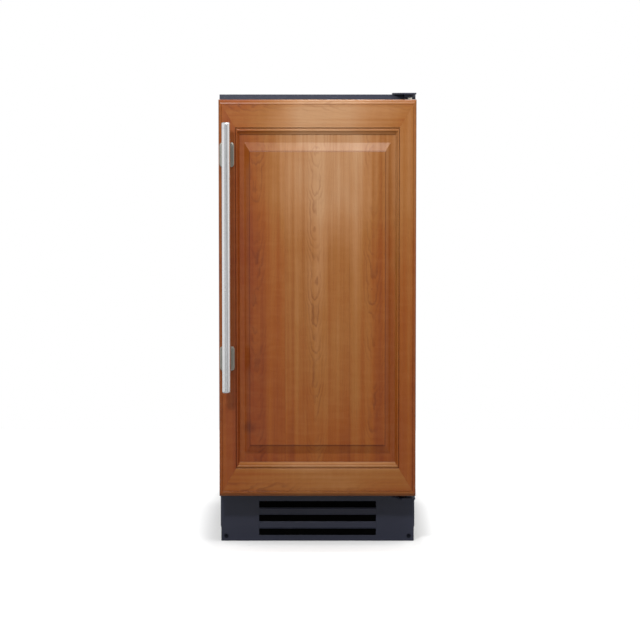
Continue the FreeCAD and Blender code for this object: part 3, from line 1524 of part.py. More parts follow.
def build_electrical():
    """The wiring box with its lid, and the gland where a supply lead enters."""
    x0, x1 = wiring_left, side_x - gauge - 6
    y0, y1 = wiring_front, wiring_front + wiring_length
    low, skin, lid_sheet = room_floor, 1.5, 2
    tray = box((x0, y0, low), (x1, y1, wiring_top))
    inside = box(
        (x0 + skin, y0 + skin, low + skin), (x1 - skin, y1 - skin, wiring_top + 1)
    )
    lid = box((x0, y0, wiring_top), (x1, y1, wiring_top + lid_sheet))
    keep(group(cut(tray, inside), lid), "wiring_box")

    face = cover_y + gauge
    flange = cylinder((gland_x, face, gland_z), gland_flange_r, gland_flange, "y")
    sleeve = cylinder((gland_x, face - 12, gland_z), gland_hole_r - 0.2, 13, "y")
    tail = cone((gland_x, face + gland_flange, gland_z), 9.5, 7, 7, "y")
    bore = cylinder((gland_x, face - 20, gland_z), gland_bore_r, 60, "y")
    keep(cut(fuse(flange, sleeve, tail), bore), "cord_gland")


# ---------------------------------------------------------------- build, check, write

def build_all():
    build_wrap()
    build_foam()
    build_liner()
    build_front_frame()
    build_rear_panels()
    build_base()
    for side, sx in (("left", -1), ("right", 1)):
        build_foot(f"front_{side}_foot", foot_x * sx, foot_front_y)
        build_foot(f"rear_{side}_foot", foot_x * sx, foot_rear_y)
    build_toe_kick()
    build_cover_screws()
    build_frame_members()
    build_raised_panel()
    build_door_core()
    build_handle()
    build_hinges()
    build_evaporator()
    build_cutter_grid()
    build_trough()
    build_pump()
    build_distributor()
    build_water_hoses()
    build_bin()
    build_scoop()
    build_controls()
    build_condenser()
    build_compressor()
    build_refrigerant_pipes()
    build_water_valve()
    build_electrical()


def check_and_write():
    doc.recompute()
    for thing in doc.Objects:
        if {"Invalid", "Error"} & set(thing.State):
            raise RuntimeError(f"{thing.Label} ({thing.Name}) failed: {thing.State}")
    os.makedirs("parts", exist_ok=True)
    for thing in kept:
        shape = thing.Shape
        if shape.isNull() or not shape.isValid() or not shape.Solids:
            raise RuntimeError(f"{thing.Label} has no valid solid")
        shape.exportStep(os.path.join("parts", thing.Label + ".step"))
        print(f"{thing.Label}: {len(shape.Solids)} solids, {shape.Volume / 1000:.1f} cm3")
    print(len(kept), "sub-parts")


build_all()
check_and_write()
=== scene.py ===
"""The looks of an undercounter ice maker with a wooden overlay door, built round its CAD frame.

Lengths are metres in the frame's own axes: +Z up, the front faces -Y.  Inside the materials,
lengths are millimetres, because grain and texture are easier to read that way.
"""

import json
import math

import bpy
from mathutils import Euler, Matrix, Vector

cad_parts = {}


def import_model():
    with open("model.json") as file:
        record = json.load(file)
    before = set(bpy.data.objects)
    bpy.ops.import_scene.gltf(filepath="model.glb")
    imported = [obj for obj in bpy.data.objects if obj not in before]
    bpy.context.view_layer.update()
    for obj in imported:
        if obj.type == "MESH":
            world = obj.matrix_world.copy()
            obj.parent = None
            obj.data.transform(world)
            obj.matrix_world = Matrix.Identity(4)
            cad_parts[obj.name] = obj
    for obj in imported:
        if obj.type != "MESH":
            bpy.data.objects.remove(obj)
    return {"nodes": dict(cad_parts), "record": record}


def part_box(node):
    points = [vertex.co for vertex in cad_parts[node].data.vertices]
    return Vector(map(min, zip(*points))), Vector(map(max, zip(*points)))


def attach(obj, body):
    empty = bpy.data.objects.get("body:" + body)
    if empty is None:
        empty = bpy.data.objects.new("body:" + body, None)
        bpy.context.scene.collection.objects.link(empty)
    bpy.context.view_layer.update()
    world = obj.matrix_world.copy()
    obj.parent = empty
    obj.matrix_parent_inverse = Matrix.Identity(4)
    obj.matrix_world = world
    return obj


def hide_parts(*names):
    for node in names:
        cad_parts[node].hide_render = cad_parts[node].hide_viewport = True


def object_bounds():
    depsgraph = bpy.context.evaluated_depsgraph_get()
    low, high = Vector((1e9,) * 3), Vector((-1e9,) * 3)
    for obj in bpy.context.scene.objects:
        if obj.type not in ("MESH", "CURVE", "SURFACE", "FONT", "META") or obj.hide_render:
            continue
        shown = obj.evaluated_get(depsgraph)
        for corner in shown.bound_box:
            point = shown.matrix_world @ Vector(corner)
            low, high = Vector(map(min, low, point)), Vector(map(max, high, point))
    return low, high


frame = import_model()
cad_low, cad_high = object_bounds()
MM = 0.001


# ---------------------------------------------------------------- node materials

class Graph:
    """Makes the nodes of one material or tree.

    node() returns the node, split() its three outputs and surface() the material; every other
    call returns one output socket.
    """

    def __init__(self, name, tree=None):
        if tree is None:
            self.material = bpy.data.materials.new(name)
            self.material.use_nodes = True
            tree = self.material.node_tree
        self.tree = tree
        self.tree.nodes.clear()

    def node(self, kind, inputs=None, **settings):
        made = self.tree.nodes.new("ShaderNode" + kind)
        for key, value in settings.items():
            setattr(made, key, value)
        for key, value in (inputs or {}).items():
            socket = made.inputs[key]
            if isinstance(value, bpy.types.NodeSocket):
                self.tree.links.new(value, socket)
            else:
                socket.default_value = value
        return made

    def math(self, operation, a, b=0.0, c=0.0):
        inputs = {0: a, 1: b, 2: c}
        return self.node("Math", inputs, operation=operation).outputs[0]

    def add(self, a, b):
        return self.math("ADD", a, b)

    def times(self, a, b):
        return self.math("MULTIPLY", a, b)

    def position(self):
        """The point in the object's own space, in millimetres."""
        coords = self.node("TexCoord").outputs["Object"]
        scaled = self.node("VectorMath", {0: coords}, operation="SCALE")
        scaled.inputs["Scale"].default_value = 1 / MM
        return scaled.outputs[0]

    def split(self, vector):
        return self.node("SeparateXYZ", {0: vector}).outputs

    def join(self, x, y, z):
        return self.node("CombineXYZ", {0: x, 1: y, 2: z}).outputs[0]

    def stretch(self, vector, sizes, offset=(0, 0, 0)):
        """Coordinates in which a feature of those sizes, in millimetres, is one unit."""
        scale = tuple(1 / s for s in sizes)
        return self.node(
            "Mapping", {"Vector": vector, "Scale": scale, "Location": offset}
        ).outputs[0]

    def noise(self, vector, detail=2.0, roughness=0.5, distortion=0.0, scale=1.0):
        inputs = {
            "Vector": vector, "Scale": scale, "Detail": detail,
            "Roughness": roughness, "Distortion": distortion,
        }
        return self.node("TexNoise", inputs).outputs["Fac"]

    def ramp(self, value, *stops):
        """A colour or grey ramp; a stop is (place, grey) or (place, (r, g, b))."""
        made = self.node("ValToRGB", {0: value})
        points = made.color_ramp.elements
        while len(points) < len(stops):
            points.new(1.0)
        for point, (place, colour) in zip(points, stops):
            point.position = place
            if not isinstance(colour, tuple):
                colour = (colour, colour, colour)
            point.color = (*colour, 1.0)
        return made.outputs[0]

    def step(self, value, low, high, smooth=True):
        """0 below low and 1 above high, or the other way round if low is the larger."""
        kind = "SMOOTHSTEP" if smooth else "LINEAR"
        made = self.node(
            "MapRange", {"Value": value, "From Min": low, "From Max": high},
            interpolation_type=kind,
        )
        return made.outputs[0]

    def band(self, value, rise, fall):
        """0, then 1 between rise and fall, then 0 again; each is a (low, high) stretch."""
        return self.times(self.step(value, *rise), self.step(value, fall[1], fall[0]))

    def between(self, value, low, high):
        """Maps 0..1 to low..high."""
        return self.node(
            "MapRange", {"Value": value, "To Min": low, "To Max": high}
        ).outputs[0]

    def mix(self, share, a, b, blend="MIX"):
        made = self.node("Mix", data_type="RGBA", blend_type=blend)
        for index, value in ((0, share), (6, a), (7, b)):
            if isinstance(value, bpy.types.NodeSocket):
                self.tree.links.new(value, made.inputs[index])
            elif index and not isinstance(value, float):
                made.inputs[index].default_value = (*value, 1.0)
            elif index:
                made.inputs[index].default_value = (value, value, value, 1.0)
            else:
                made.inputs[index].default_value = value
        return made.outputs[2]

    def shade(self, colour, share, darker):
        """The colour times darker, as far as share."""
        return self.mix(share, colour, self.mix(1.0, colour, darker, "MULTIPLY"))

    def rounded(self, radius):
        """A normal that rounds every edge a little, as paint and sanding do."""
        return self.node("Bevel", {"Radius": radius * MM}, samples=4).outputs[0]

    def bump(self, height, depth, strength=1.0, normal=None):
        """Relief of that depth in millimetres."""
        inputs = {"Height": height, "Distance": depth * MM, "Strength": strength}
        if normal is not None:
            inputs["Normal"] = normal
        return self.node("Bump", inputs).outputs[0]

    def surface(self, **inputs):
        """Ends the material with one principled shader; underscores stand for spaces."""
        shader = self.node("BsdfPrincipled")
        for key, value in inputs.items():
            socket = shader.inputs[key.replace("_", " ")]
            if isinstance(value, bpy.types.NodeSocket):
                self.tree.links.new(value, socket)
            elif socket.type == "RGBA":
                socket.default_value = (*value, 1.0)
            else:
                socket.default_value = value
        self.node("OutputMaterial", {"Surface": shader.outputs[0]})
        return self.material


# ---------------------------------------------------------------- wood

face_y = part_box("top_rail")[0].y / MM
door_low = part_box("left_stile")[0] / MM
door_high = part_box("right_stile")[1] / MM
# the tree: the width of a year's growth, and how much thinner the trunk gets per millimetre
RING_PITCH = 4.4
RING_TAPER = 0.11
# the glaze, with painted shade in the hollows: how strong it is, how wide it is wiped off at the
# rim, and where the painted shadow along the lower edge starts to fade and ends
GLAZE_AND_SHADE_STRENGTH = 0.55
WIPED = 12.0
WIPED_FADE = 2.0
LOWER_EDGE_SHADOW = (5.0, 9.0)
# how far in from the face the two darkened bands lie, each fading in and then out: the quirk
# band is glaze and painted shade, the corner band painted shade against the panel
QUIRK_BAND = ((1.2, 1.7), (2.6, 3.4))
CORNER_BAND = ((6.4, 7.2), (8.2, 8.8))
# the stain's colours, from its lightest to its deepest; the painted light below runs along them
# too
STAIN_AND_LIGHT_COLOURS = (
    (0.0, (0.425, 0.232, 0.112)), (0.25, (0.366, 0.165, 0.060)), (0.5, (0.298, 0.110, 0.022)),
    (0.75, (0.262, 0.067, 0.005)), (1.0, (0.215, 0.041, 0.003)),
)
# painted light on the wood: how far the colour deepens from the door's top down, and how far
# that holds from its left to its right, so that the top and middle look lit from above
PAINTED_LIGHT_DOWN = ((0.0, 0.02), (0.25, 0.14), (0.38, 0.42), (0.63, 0.52), (0.86, 0.74), (1.0, 0.80))
PAINTED_LIGHT_ACROSS = (
    (0.0, 0.20), (0.12, 0.27), (0.18, 0.38), (0.31, 0.68), (0.42, 1.0), (0.66, 1.0),
    (0.77, 0.76), (0.94, 0.50), (1.0, 0.45),
)


def which_board(g, across, boards, seams):
    """The board's middle, pith depth, redness and number, as steps across the seams."""
    values = list(boards[0])
    board = 0.0
    for seam, before, after in zip(seams, boards, boards[1:]):
        over = g.math("GREATER_THAN", across, seam)
        values = [
            g.add(v, g.times(over, new - old)) for v, old, new in zip(values, before, after)
        ]
        board = g.add(board, over)
    return (*values, board)


def tree_rings(g, off_centre, to_pith, along, ripple, grain):
    """Late wood of the rings that the face cuts, strongest in patches near the middle."""
    radius = g.math("SQRT", g.add(g.times(off_centre, off_centre), g.times(to_pith, to_pith)))
    rings = g.add(radius, g.times(ripple, 6.0))
    rings = g.math("SUBTRACT", rings, g.times(along, RING_TAPER))
    age = g.math("FRACT", g.times(rings, 1 / RING_PITCH))
    late = g.ramp(age, (0.0, 0.0), (0.45, 0.12), (0.80, 1.0), (0.90, 0.7), (1.0, 0.0))
    near = g.step(g.math("ABSOLUTE", off_centre), 26.0, 3.0)
    patch = g.step(g.noise(g.stretch(grain, (24, 30, 95), (9, 4, 2)), 2.0), 0.42, 0.66)
    return g.times(late, g.add(g.times(g.times(near, patch), 0.55), 0.07))


def stain_and_painted_light(g, x, z, redness, columns, grain):
    """The stain's depth with painted light: lighter high up and just right of the middle, darker
    toward the sides and bottom; board redness, tone columns and cloud add the wood's own tone.
    """
    cloud = g.noise(g.stretch(grain, (52, 60, 150)), 3.0, 0.55)
    down = g.ramp(g.step(z, door_high.z, door_low.z, smooth=False), *PAINTED_LIGHT_DOWN)
    window = g.ramp(g.step(x, door_low.x, door_high.x, smooth=False), *PAINTED_LIGHT_ACROSS)
    stain_and_light = g.math("SUBTRACT", 1.0, g.times(g.math("SUBTRACT", 1.0, down), window))
    stain_and_light = g.add(g.add(stain_and_light, redness), g.times(g.add(columns, -0.5), -0.75))
    return g.add(stain_and_light, g.times(g.add(cloud, -0.5), 0.45))


def glaze_and_painted_shade(g, x, z, depth, corners):
    """Dark glaze with painted shade in the quirks, painted shade against the panel and a painted
    shadow along the door's lower edge.

    It is mostly wiped off near the sides and the top.
    """
    quirk = g.band(depth, *QUIRK_BAND)
    corner = g.band(depth, *CORNER_BAND) if corners else 0.0
    rim_x = g.step(
        g.math("ABSOLUTE", x), door_high.x - WIPED - WIPED_FADE, door_high.x - WIPED
    )
    rim_top = g.step(z, door_high.z - WIPED - WIPED_FADE, door_high.z - WIPED)
    wiped = g.add(g.times(g.math("MAXIMUM", rim_x, rim_top), -0.75), 1.0)
    glaze_and_shade = g.times(g.math("MAXIMUM", quirk, corner), wiped)
    solid, faded = LOWER_EDGE_SHADOW
    painted_lower_shadow = g.step(z, door_low.z + faded, door_low.z + solid)
    return g.math("MAXIMUM", glaze_and_shade, painted_lower_shadow)


def cherry(name, upright=True, boards=((0.0, 14.0, 0.0),), seams=(), seed=0.0,
           knots=(), corners=True):
    """Stained, flat-sawn cherry under satin lacquer.

    boards holds, for each board, the middle of its figure across the grain, the depth of the
    tree's pith behind it, and how much redder than the rest it is.  seams holds the glue lines,
    and knots the place and size of each dark knot.
    """
    g = Graph(name)
    point = g.position()
    x, y, z = g.split(point)
    across, lengthways = (x, z) if upright else (z, x)
    depth = g.math("SUBTRACT", y, face_y)

    centre, pith, redness, board = which_board(g, across, boards, seams)
    along = g.add(lengthways, g.add(g.times(board, 371.0), seed))
    grain = g.join(across, y, along)

    # tree rings cut by the face: the pith wanders, so arches close into ovals here and there
    line = g.join(0.0, 0.0, along)
    sway = g.noise(g.stretch(line, (1, 1, 150)), 2.0)
    heave = g.noise(g.stretch(line, (1, 1, 62), (3, 5, 7)), 2.0)
    off_centre = g.add(g.math("SUBTRACT", across, centre), g.times(g.add(sway, -0.5), 20.0))
    to_pith = g.add(g.add(pith, depth), g.times(g.add(heave, -0.5), 22.0))
    ripple = g.noise(g.stretch(grain, (8, 20, 42)), 3.0, 0.6)
    ring_mark = tree_rings(g, off_centre, to_pith, along, ripple, grain)

    # tone columns, streaks, fibres and pores, all drawn out along the grain
    columns = g.noise(g.stretch(grain, (17, 60, 1500)), 2.0, 0.55)
    streaks = g.noise(g.stretch(grain, (2.2, 9, 200)), 4.0, 0.65)
    fibres = g.noise(g.stretch(grain, (0.55, 2, 30)), 3.0, 0.7)
    pores = g.step(g.noise(g.stretch(grain, (0.4, 1, 5.5)), 1.0, 0.5), 0.68, 0.76)
    figure = g.noise(g.stretch(grain, (40, 30, 11)), 2.0, 0.5, 0.7)

    # the wood's colour with painted light: lighter at the top and middle, deeper at the sides
    # and bottom
    colour = g.ramp(stain_and_painted_light(g, x, z, redness, columns, grain), *STAIN_AND_LIGHT_COLOURS)
    colour = g.shade(colour, g.step(columns, 0.55, 0.25), (0.90, 0.85, 0.80))
    colour = g.shade(colour, g.step(streaks, 0.50, 0.80), (0.84, 0.76, 0.68))
    colour = g.shade(colour, ring_mark, (0.50, 0.36, 0.28))
    colour = g.shade(colour, g.between(fibres, 0.0, 0.30), (0.82, 0.76, 0.70))
    colour = g.shade(colour, g.times(pores, 0.4), (0.45, 0.34, 0.28))
    colour = g.mix(g.between(figure, -0.04, 0.06), colour, (0.70, 0.36, 0.14))
    for knot_x, knot_z, size in knots:
        spot = g.join(g.add(x, -knot_x), 0.0, g.add(z, -knot_z))
        spot = g.stretch(spot, (size, 1.0, size * 0.8))
        far = g.node("VectorMath", {0: spot}, operation="LENGTH").outputs["Value"]
        far = g.add(far, g.times(g.add(ripple, -0.5), 1.8))
        colour = g.shade(colour, g.times(g.step(far, 1.3, 0.2), 0.55), (0.42, 0.28, 0.22))
    for seam in seams:
        joint = g.step(g.math("ABSOLUTE", g.math("SUBTRACT", across, seam)), 0.5, 0.15)
        colour = g.shade(colour, g.times(joint, 0.35), (0.35, 0.25, 0.2))

    # glaze and painted shade in the hollows, and a painted shadow along the lower edge
    glaze_and_shade = g.times(glaze_and_painted_shade(g, x, z, depth, corners), GLAZE_AND_SHADE_STRENGTH)
    colour = g.shade(colour, glaze_and_shade, (0.50, 0.36, 0.26))

    relief = g.add(g.times(fibres, 0.5), g.times(pores, -0.6))
    sanded = g.bump(relief, 0.035, 0.7, g.rounded(0.5))
    film = g.bump(g.noise(point, 2.0, 0.5, scale=0.22), 0.05, 0.5, g.rounded(0.6))
    roughness = g.between(streaks, 0.42, 0.58)
    return g.surface(
        Base_Color=colour, Roughness=roughness, Normal=sanded, Specular_IOR_Level=0.1,
        Coat_Weight=0.5, Coat_Roughness=0.3, Coat_IOR=1.5, Coat_Normal=film,
    )


# ---------------------------------------------------------------- metals

def powder_coat(name, colour=(0.0165, 0.019, 0.036), rough=0.42):
    """Dark powder coat with a fine orange peel."""
    g = Graph(name)
    point = g.position()
    peel = g.noise(point, 3.0, 0.55, scale=0.85)
    drift = g.noise(g.stretch(point, (90, 90, 120)), 2.0)
    tint = g.mix(g.between(drift, 0.1, 0.9), colour, tuple(c * 1.35 for c in colour))
    dust = g.step(g.noise(point, 4.0, 0.7, scale=0.05), 0.62, 0.8)
    tint = g.mix(g.times(dust, 0.10), tint, (0.10, 0.10, 0.105))
    normal = g.bump(peel, 0.05, 0.5, g.rounded(0.8))
    roughness = g.between(g.noise(point, 2.0, scale=0.02), rough - 0.05, rough + 0.08)
    return g.surface(Base_Color=tint, Roughness=roughness, Normal=normal,
                     Specular_IOR_Level=0.45)


def brushed_steel(name, axis="z", colour=(0.84, 0.85, 0.86), rough=0.23):
    """Steel with a fine satin brush along one axis."""
    g = Graph(name)
    point = g.position()
    sizes = {"x": (60, 0.45, 0.45), "y": (0.45, 60, 0.45), "z": (0.45, 0.45, 60)}[axis]
    lines = g.noise(g.stretch(point, sizes), 4.0, 0.7)
    smear = g.noise(g.stretch(point, tuple(s * 9 for s in sizes)), 2.0)
    handled = g.noise(point, 3.0, 0.6, scale=0.03)
    tint = g.mix(g.between(lines, 0.2, 0.8), colour, tuple(c * 0.88 for c in colour))
    tint = g.shade(tint, g.between(handled, -0.2, 0.35), (0.88, 0.87, 0.85))
    roughness = g.add(g.between(lines, rough - 0.03, rough + 0.06), g.times(smear, 0.06))
    normal = g.bump(lines, 0.005, 0.4, g.rounded(0.4))
    return g.surface(Base_Color=tint, Metallic=1.0, Roughness=roughness, Normal=normal,
                     Anisotropic=0.35)


def galvanised(name):
    """Hot-dip zinc with its crystal spangle."""
    g = Graph(name)
    point = g.position()
    cloudy = g.noise(point, 2.0, scale=0.05)
    crystal = g.node("TexVoronoi", {"Vector": point, "Scale": 0.13, "Randomness": 1.0})
    cell = g.split(crystal.outputs["Color"])[0]
    feather = g.noise(g.stretch(point, (2.2, 2.2, 9)), 3.0, 0.6)
    shade = g.add(g.times(cell, 0.7), g.times(feather, 0.3))
    tint = g.ramp(shade, (0.0, (0.50, 0.52, 0.54)), (0.5, (0.58, 0.60, 0.61)),
                  (1.0, (0.68, 0.69, 0.69)))
    tint = g.shade(tint, g.between(cloudy, 0.0, 0.4), (0.82, 0.83, 0.84))
    roughness = g.between(shade, 0.34, 0.56)
    normal = g.bump(feather, 0.01, 0.4, g.rounded(0.5))
    return g.surface(Base_Color=tint, Metallic=0.92, Roughness=roughness, Normal=normal)


def plated(name, colour=(0.62, 0.61, 0.57), rough=0.32, black_before=None):
    """Zinc plate, as on screws and pins; black oxide on what lies in front of black_before."""
    g = Graph(name)
    point = g.position()
    patch = g.noise(point, 3.0, 0.6, scale=0.35)
    turned = g.noise(g.stretch(point, (3, 3, 0.25)), 2.0)
    tint = g.mix(patch, colour, (0.70, 0.66, 0.52))
    if black_before is not None:
        front = g.math("LESS_THAN", g.split(point)[1], black_before)  # the front faces -Y
        tint = g.mix(front, tint, (0.016, 0.018, 0.026))
    roughness = g.between(turned, rough - 0.06, rough + 0.12)
    normal = g.bump(turned, 0.01, 0.4, g.rounded(0.25))
    return g.surface(Base_Color=tint, Metallic=1.0, Roughness=roughness, Normal=normal)


def copper(name):
    """Drawn copper tube, dulled, with heat marks."""
    g = Graph(name)
    point = g.position()
    tarnish = g.noise(point, 4.0, 0.65, scale=0.035)
    tint = g.ramp(tarnish, (0.25, (0.86, 0.42, 0.27)), (0.55, (0.72, 0.33, 0.20)),
                  (0.8, (0.36, 0.15, 0.09)))
    roughness = g.between(tarnish, 0.22, 0.55)
    normal = g.bump(g.noise(point, 2.0, scale=0.5), 0.02, 0.4)
    return g.surface(Base_Color=tint, Metallic=1.0, Roughness=roughness, Normal=normal)


def aluminium(name):
    """Rolled fin stock with the dust that a condenser gathers."""
    g = Graph(name)
    point = g.position()
    rolled = g.noise(g.stretch(point, (1, 30, 0.6)), 3.0, 0.6)
    dust = g.step(g.noise(point, 3.0, 0.6, scale=0.06), 0.45, 0.75)
    tint = g.mix(g.times(dust, 0.45), (0.80, 0.81, 0.82), (0.38, 0.36, 0.33))
    roughness = g.between(rolled, 0.28, 0.5)
    normal = g.bump(rolled, 0.01, 0.4)
    return g.surface(Base_Color=tint, Metallic=0.95, Roughness=roughness, Normal=normal)


# ---------------------------------------------------------------- plastics, rubber, glass

def colour_of(g, colour):
    """A colour with a trace of large-scale variation, so that no surface is one flat value."""
    drift = g.noise(g.position(), 2.0, scale=0.011)
    darker = tuple(c * 0.97 for c in colour)
    lighter = tuple(min(1, c * 1.03) for c in colour)
    return g.mix(drift, darker, lighter)


def moulded(name, colour, rough=0.38, grit=0.02, flow=0.06, gloss=0.5, glow=0.0):
    """Injection-moulded plastic: a fine texture, faint flow shading and scuffs."""
    g = Graph(name)
    point = g.position()
    texture = g.noise(point, 3.0, 0.6, scale=2.2)
    swirl = g.noise(g.stretch(point, (70, 70, 110)), 3.0, 0.5, 0.8)
    scuff = g.step(g.noise(g.stretch(point, (3, 40, 14)), 4.0, 0.7), 0.62, 0.72)
    tint = g.shade(colour_of(g, colour), g.between(swirl, 0.0, flow * 2), (0.7, 0.7, 0.72))
    tint = g.shade(tint, g.times(scuff, 0.12), (0.8, 0.8, 0.8))
    roughness = g.add(g.between(texture, rough - 0.06, rough + 0.06), g.times(scuff, 0.08))
    normal = g.bump(texture, grit, 0.5, g.rounded(0.6))
    return g.surface(Base_Color=tint, Roughness=roughness, Normal=normal,
                     Specular_IOR_Level=gloss, Subsurface_Weight=glow,
                     Subsurface_Radius=(0.004, 0.004, 0.004))


def rubber(name, colour=(0.022, 0.022, 0.023), rough=0.62, shine=0.4):
    """Black rubber or vinyl with a grey bloom on its skin."""
    g = Graph(name)
    point = g.position()
    skin = g.noise(point, 4.0, 0.65, scale=1.1)
    bloom = g.step(g.noise(point, 3.0, 0.6, scale=0.05), 0.5, 0.85)
    tint = g.mix(g.times(bloom, 0.35), colour, tuple(c * 2.9 for c in colour))
    roughness = g.between(skin, rough - 0.08, rough + 0.12)
    return g.surface(Base_Color=tint, Roughness=roughness, Normal=g.bump(skin, 0.04, 0.5),
                     Specular_IOR_Level=shine)


def clear(name, colour=(0.86, 0.93, 0.97), rough=0.06):
    """Transparent moulded plastic."""
    g = Graph(name)
    point = g.position()
    haze = g.noise(point, 3.0, 0.6, scale=0.06)
    wave = g.noise(g.stretch(point, (60, 60, 45)), 2.0)
    return g.surface(
        Base_Color=g.mix(haze, colour, tuple(c * 0.97 for c in colour)),
        Roughness=g.between(haze, rough, rough + 0.12), Transmission_Weight=0.92, IOR=1.49,
        Normal=g.bump(wave, 0.08, 0.3, g.rounded(0.5)),
    )


def hose(name):
    """Milky vinyl hose with a reinforcing braid inside."""
    g = Graph(name)
    point = g.position()
    x, y, z = g.split(point)
    turn = g.add(g.add(x, y), z)
    back = g.math("SUBTRACT", g.add(x, y), z)
    threads = [g.math("SINE", g.times(way, 1.3)) for way in (turn, back)]
    braid = g.math("MAXIMUM", *threads)
    thread = g.step(braid, 0.86, 0.98)
    cloudy = g.noise(point, 2.0, scale=0.03)
    tint = g.mix(g.times(thread, 0.5), (0.66, 0.70, 0.72), (0.90, 0.91, 0.92))
    tint = g.shade(tint, g.between(cloudy, 0.0, 0.3), (0.85, 0.86, 0.84))
    return g.surface(Base_Color=tint, Roughness=g.between(cloudy, 0.26, 0.40),
                     Normal=g.bump(braid, 0.08, 0.5), Subsurface_Weight=0.25,
                     Subsurface_Radius=(0.005, 0.005, 0.005))


def rigid_foam(name):
    """Poured polyurethane foam: tan, with small open cells in its skin."""
    g = Graph(name)
    point = g.position()
    cells = g.node("TexVoronoi", {"Vector": point, "Scale": 0.8}).outputs["Distance"]
    big = g.noise(point, 4.0, 0.6, scale=0.03)
    tint = g.ramp(big, (0.3, (0.86, 0.76, 0.50)), (0.7, (0.74, 0.60, 0.33)))
    # the cell pits are darkened as well: painted shade
    tint = g.shade(tint, g.between(cells, 0.5, 0.0), (0.75, 0.68, 0.5))
    return g.surface(Base_Color=tint, Roughness=g.between(big, 0.78, 0.95),
                     Normal=g.bump(cells, 0.5, 0.6))


def display(name):
    """Smoked glass over a dark display, with the grid of its unlit segments just visible."""
    g = Graph(name)
    point = g.position()
    x, _, z = g.split(point)
    upright = g.step(g.math("SINE", g.times(x, 0.9)), 0.90, 0.97)
    level = g.step(g.math("SINE", g.times(z, 0.7)), 0.2, 0.5)
    bars = g.times(upright, level)
    haze = g.noise(point, 3.0, scale=0.08)
    tint = g.mix(g.times(bars, 0.25), (0.006, 0.007, 0.009), (0.05, 0.06, 0.06))
    return g.surface(Base_Color=tint, Roughness=g.between(haze, 0.05, 0.14), Coat_Weight=1.0,
                     Coat_Roughness=0.03, Normal=g.rounded(0.3))


# ---------------------------------------------------------------- materials on the CAD nodes

PANEL_BOARD = 0.4          # half of the middle board, as a share of half of the panel
seam_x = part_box("raised_panel")[1].x / MM * PANEL_BOARD
knot = (-129.0, door_low.z + 134.0, 15.0)          # low on the left: x, z and size
stile_x = (door_high.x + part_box("right_stile")[0].x / MM) / 2
top_z = (door_high.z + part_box("top_rail")[0].z / MM) / 2
bottom_z = (door_low.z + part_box("bottom_rail")[1].z / MM) / 2

wood = {
    "raised_panel": cherry(
        "cherry_panel", boards=((-118.0, 16.0, 0.05), (-4.0, 10.0, -0.02), (108.0, 15.0, 0.03)),
        seams=(-seam_x, seam_x), seed=40.0, knots=(knot,),
        corners=False,
    ),
    "left_stile": cherry("cherry_left_stile", boards=((-stile_x - 30, 26.0, 0.0),), seed=600.0),
    "right_stile": cherry("cherry_right_stile", boards=((stile_x + 34, 24.0, 0.0),), seed=950.0),
    "top_rail": cherry(
        "cherry_top_rail", False, boards=((top_z + 30, 28.0, 0.0),), seed=1400.0
    ),
    "bottom_rail": cherry(
        "cherry_bottom_rail", False, boards=((bottom_z - 22, 26.0, -0.30),), seed=1900.0
    ),
}
by_slot = {
    "dark_enamel": powder_coat("navy_powder_coat"),
    "galvanised_steel": galvanised("galvanised_sheet"),
    "stainless_steel": brushed_steel("brushed_stainless"),
    "zinc_fasteners": plated("zinc_plate"),
    "foot_steel": plated("foot_zinc", (0.45, 0.45, 0.44), 0.42),
    "liner_plastic": moulded("liner_white", (0.78, 0.79, 0.79), 0.34, 0.015),
    "white_plastic": moulded("food_grade_white", (0.80, 0.81, 0.81), 0.40, 0.02, glow=0.08),
    "black_plastic": moulded("textured_black", (0.022, 0.022, 0.024), 0.55, 0.05),
    "key_plastic": moulded("key_grey", (0.085, 0.085, 0.09), 0.50, 0.03),
    "clear_plastic": clear("clear_acrylic"),
    "display_glass": display("smoked_display"),
    "foam": rigid_foam("poured_foam"),
    "gasket_rubber": rubber("gasket_vinyl", (0.030, 0.030, 0.031), 0.5),
    "mount_rubber": rubber("mount_rubber"),
    "hose_vinyl": hose("vinyl_hose"),
    "copper": copper("drawn_copper"),
    "fin_aluminium": aluminium("fin_aluminium"),
    "compressor_paint": powder_coat("compressor_enamel", (0.012, 0.012, 0.013), 0.28),
    "acetal": moulded("acetal", (0.62, 0.62, 0.58), 0.42, 0.01),
}


def dress(thing, material):
    """Gives every material slot of an object one material."""
    if not thing.material_slots:
        thing.data.materials.append(material)
    for slot in thing.material_slots:
        slot.material = material


own_finish = {
    **wood,
    # the brackets' steel is darker and warmer than the handle's: painted shade and a painted
    # reflection of the wood
    "handle_brackets": brushed_steel("bracket_painted_shade", "z", (0.40, 0.385, 0.34), 0.34),
    "cover_screws": plated("screw_finish", black_before=0.0),
    "evaporator_plate": brushed_steel("plate_satin", "x"),
}
for row in frame["record"]["subparts"]:
    node = row["node"]
    dress(frame["nodes"][node], own_finish.get(node) or by_slot[row["material_slot"]])


# ---------------------------------------------------------------- added pieces

def piece(name, points, faces, body, slot, material=None, smooth=False):
    """A mesh piece that rides on a body, with its slot's finish unless a material is given."""
    mesh = bpy.data.meshes.new(name)
    mesh.from_pydata([tuple(p) for p in points], [], faces)
    mesh.validate()
    mesh.update()
    if smooth:
        mesh.polygons.foreach_set("use_smooth", [True] * len(mesh.polygons))
    made = bpy.data.objects.new(name, mesh)
    bpy.context.scene.collection.objects.link(made)
    dress(made, material or by_slot[slot])
    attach(made, body)
    return made


def add_block(points, faces, low, high):
    """Appends a box between two corners."""
    first = len(points)
    for z in (low[2], high[2]):
        points += [(low[0], low[1], z), (high[0], low[1], z)]
        points += [(high[0], high[1], z), (low[0], high[1], z)]
    quads = ((3, 2, 1, 0), (4, 5, 6, 7), (0, 1, 5, 4), (1, 2, 6, 5), (2, 3, 7, 6), (3, 0, 4, 7))
    faces += [tuple(first + i for i in quad) for quad in quads]


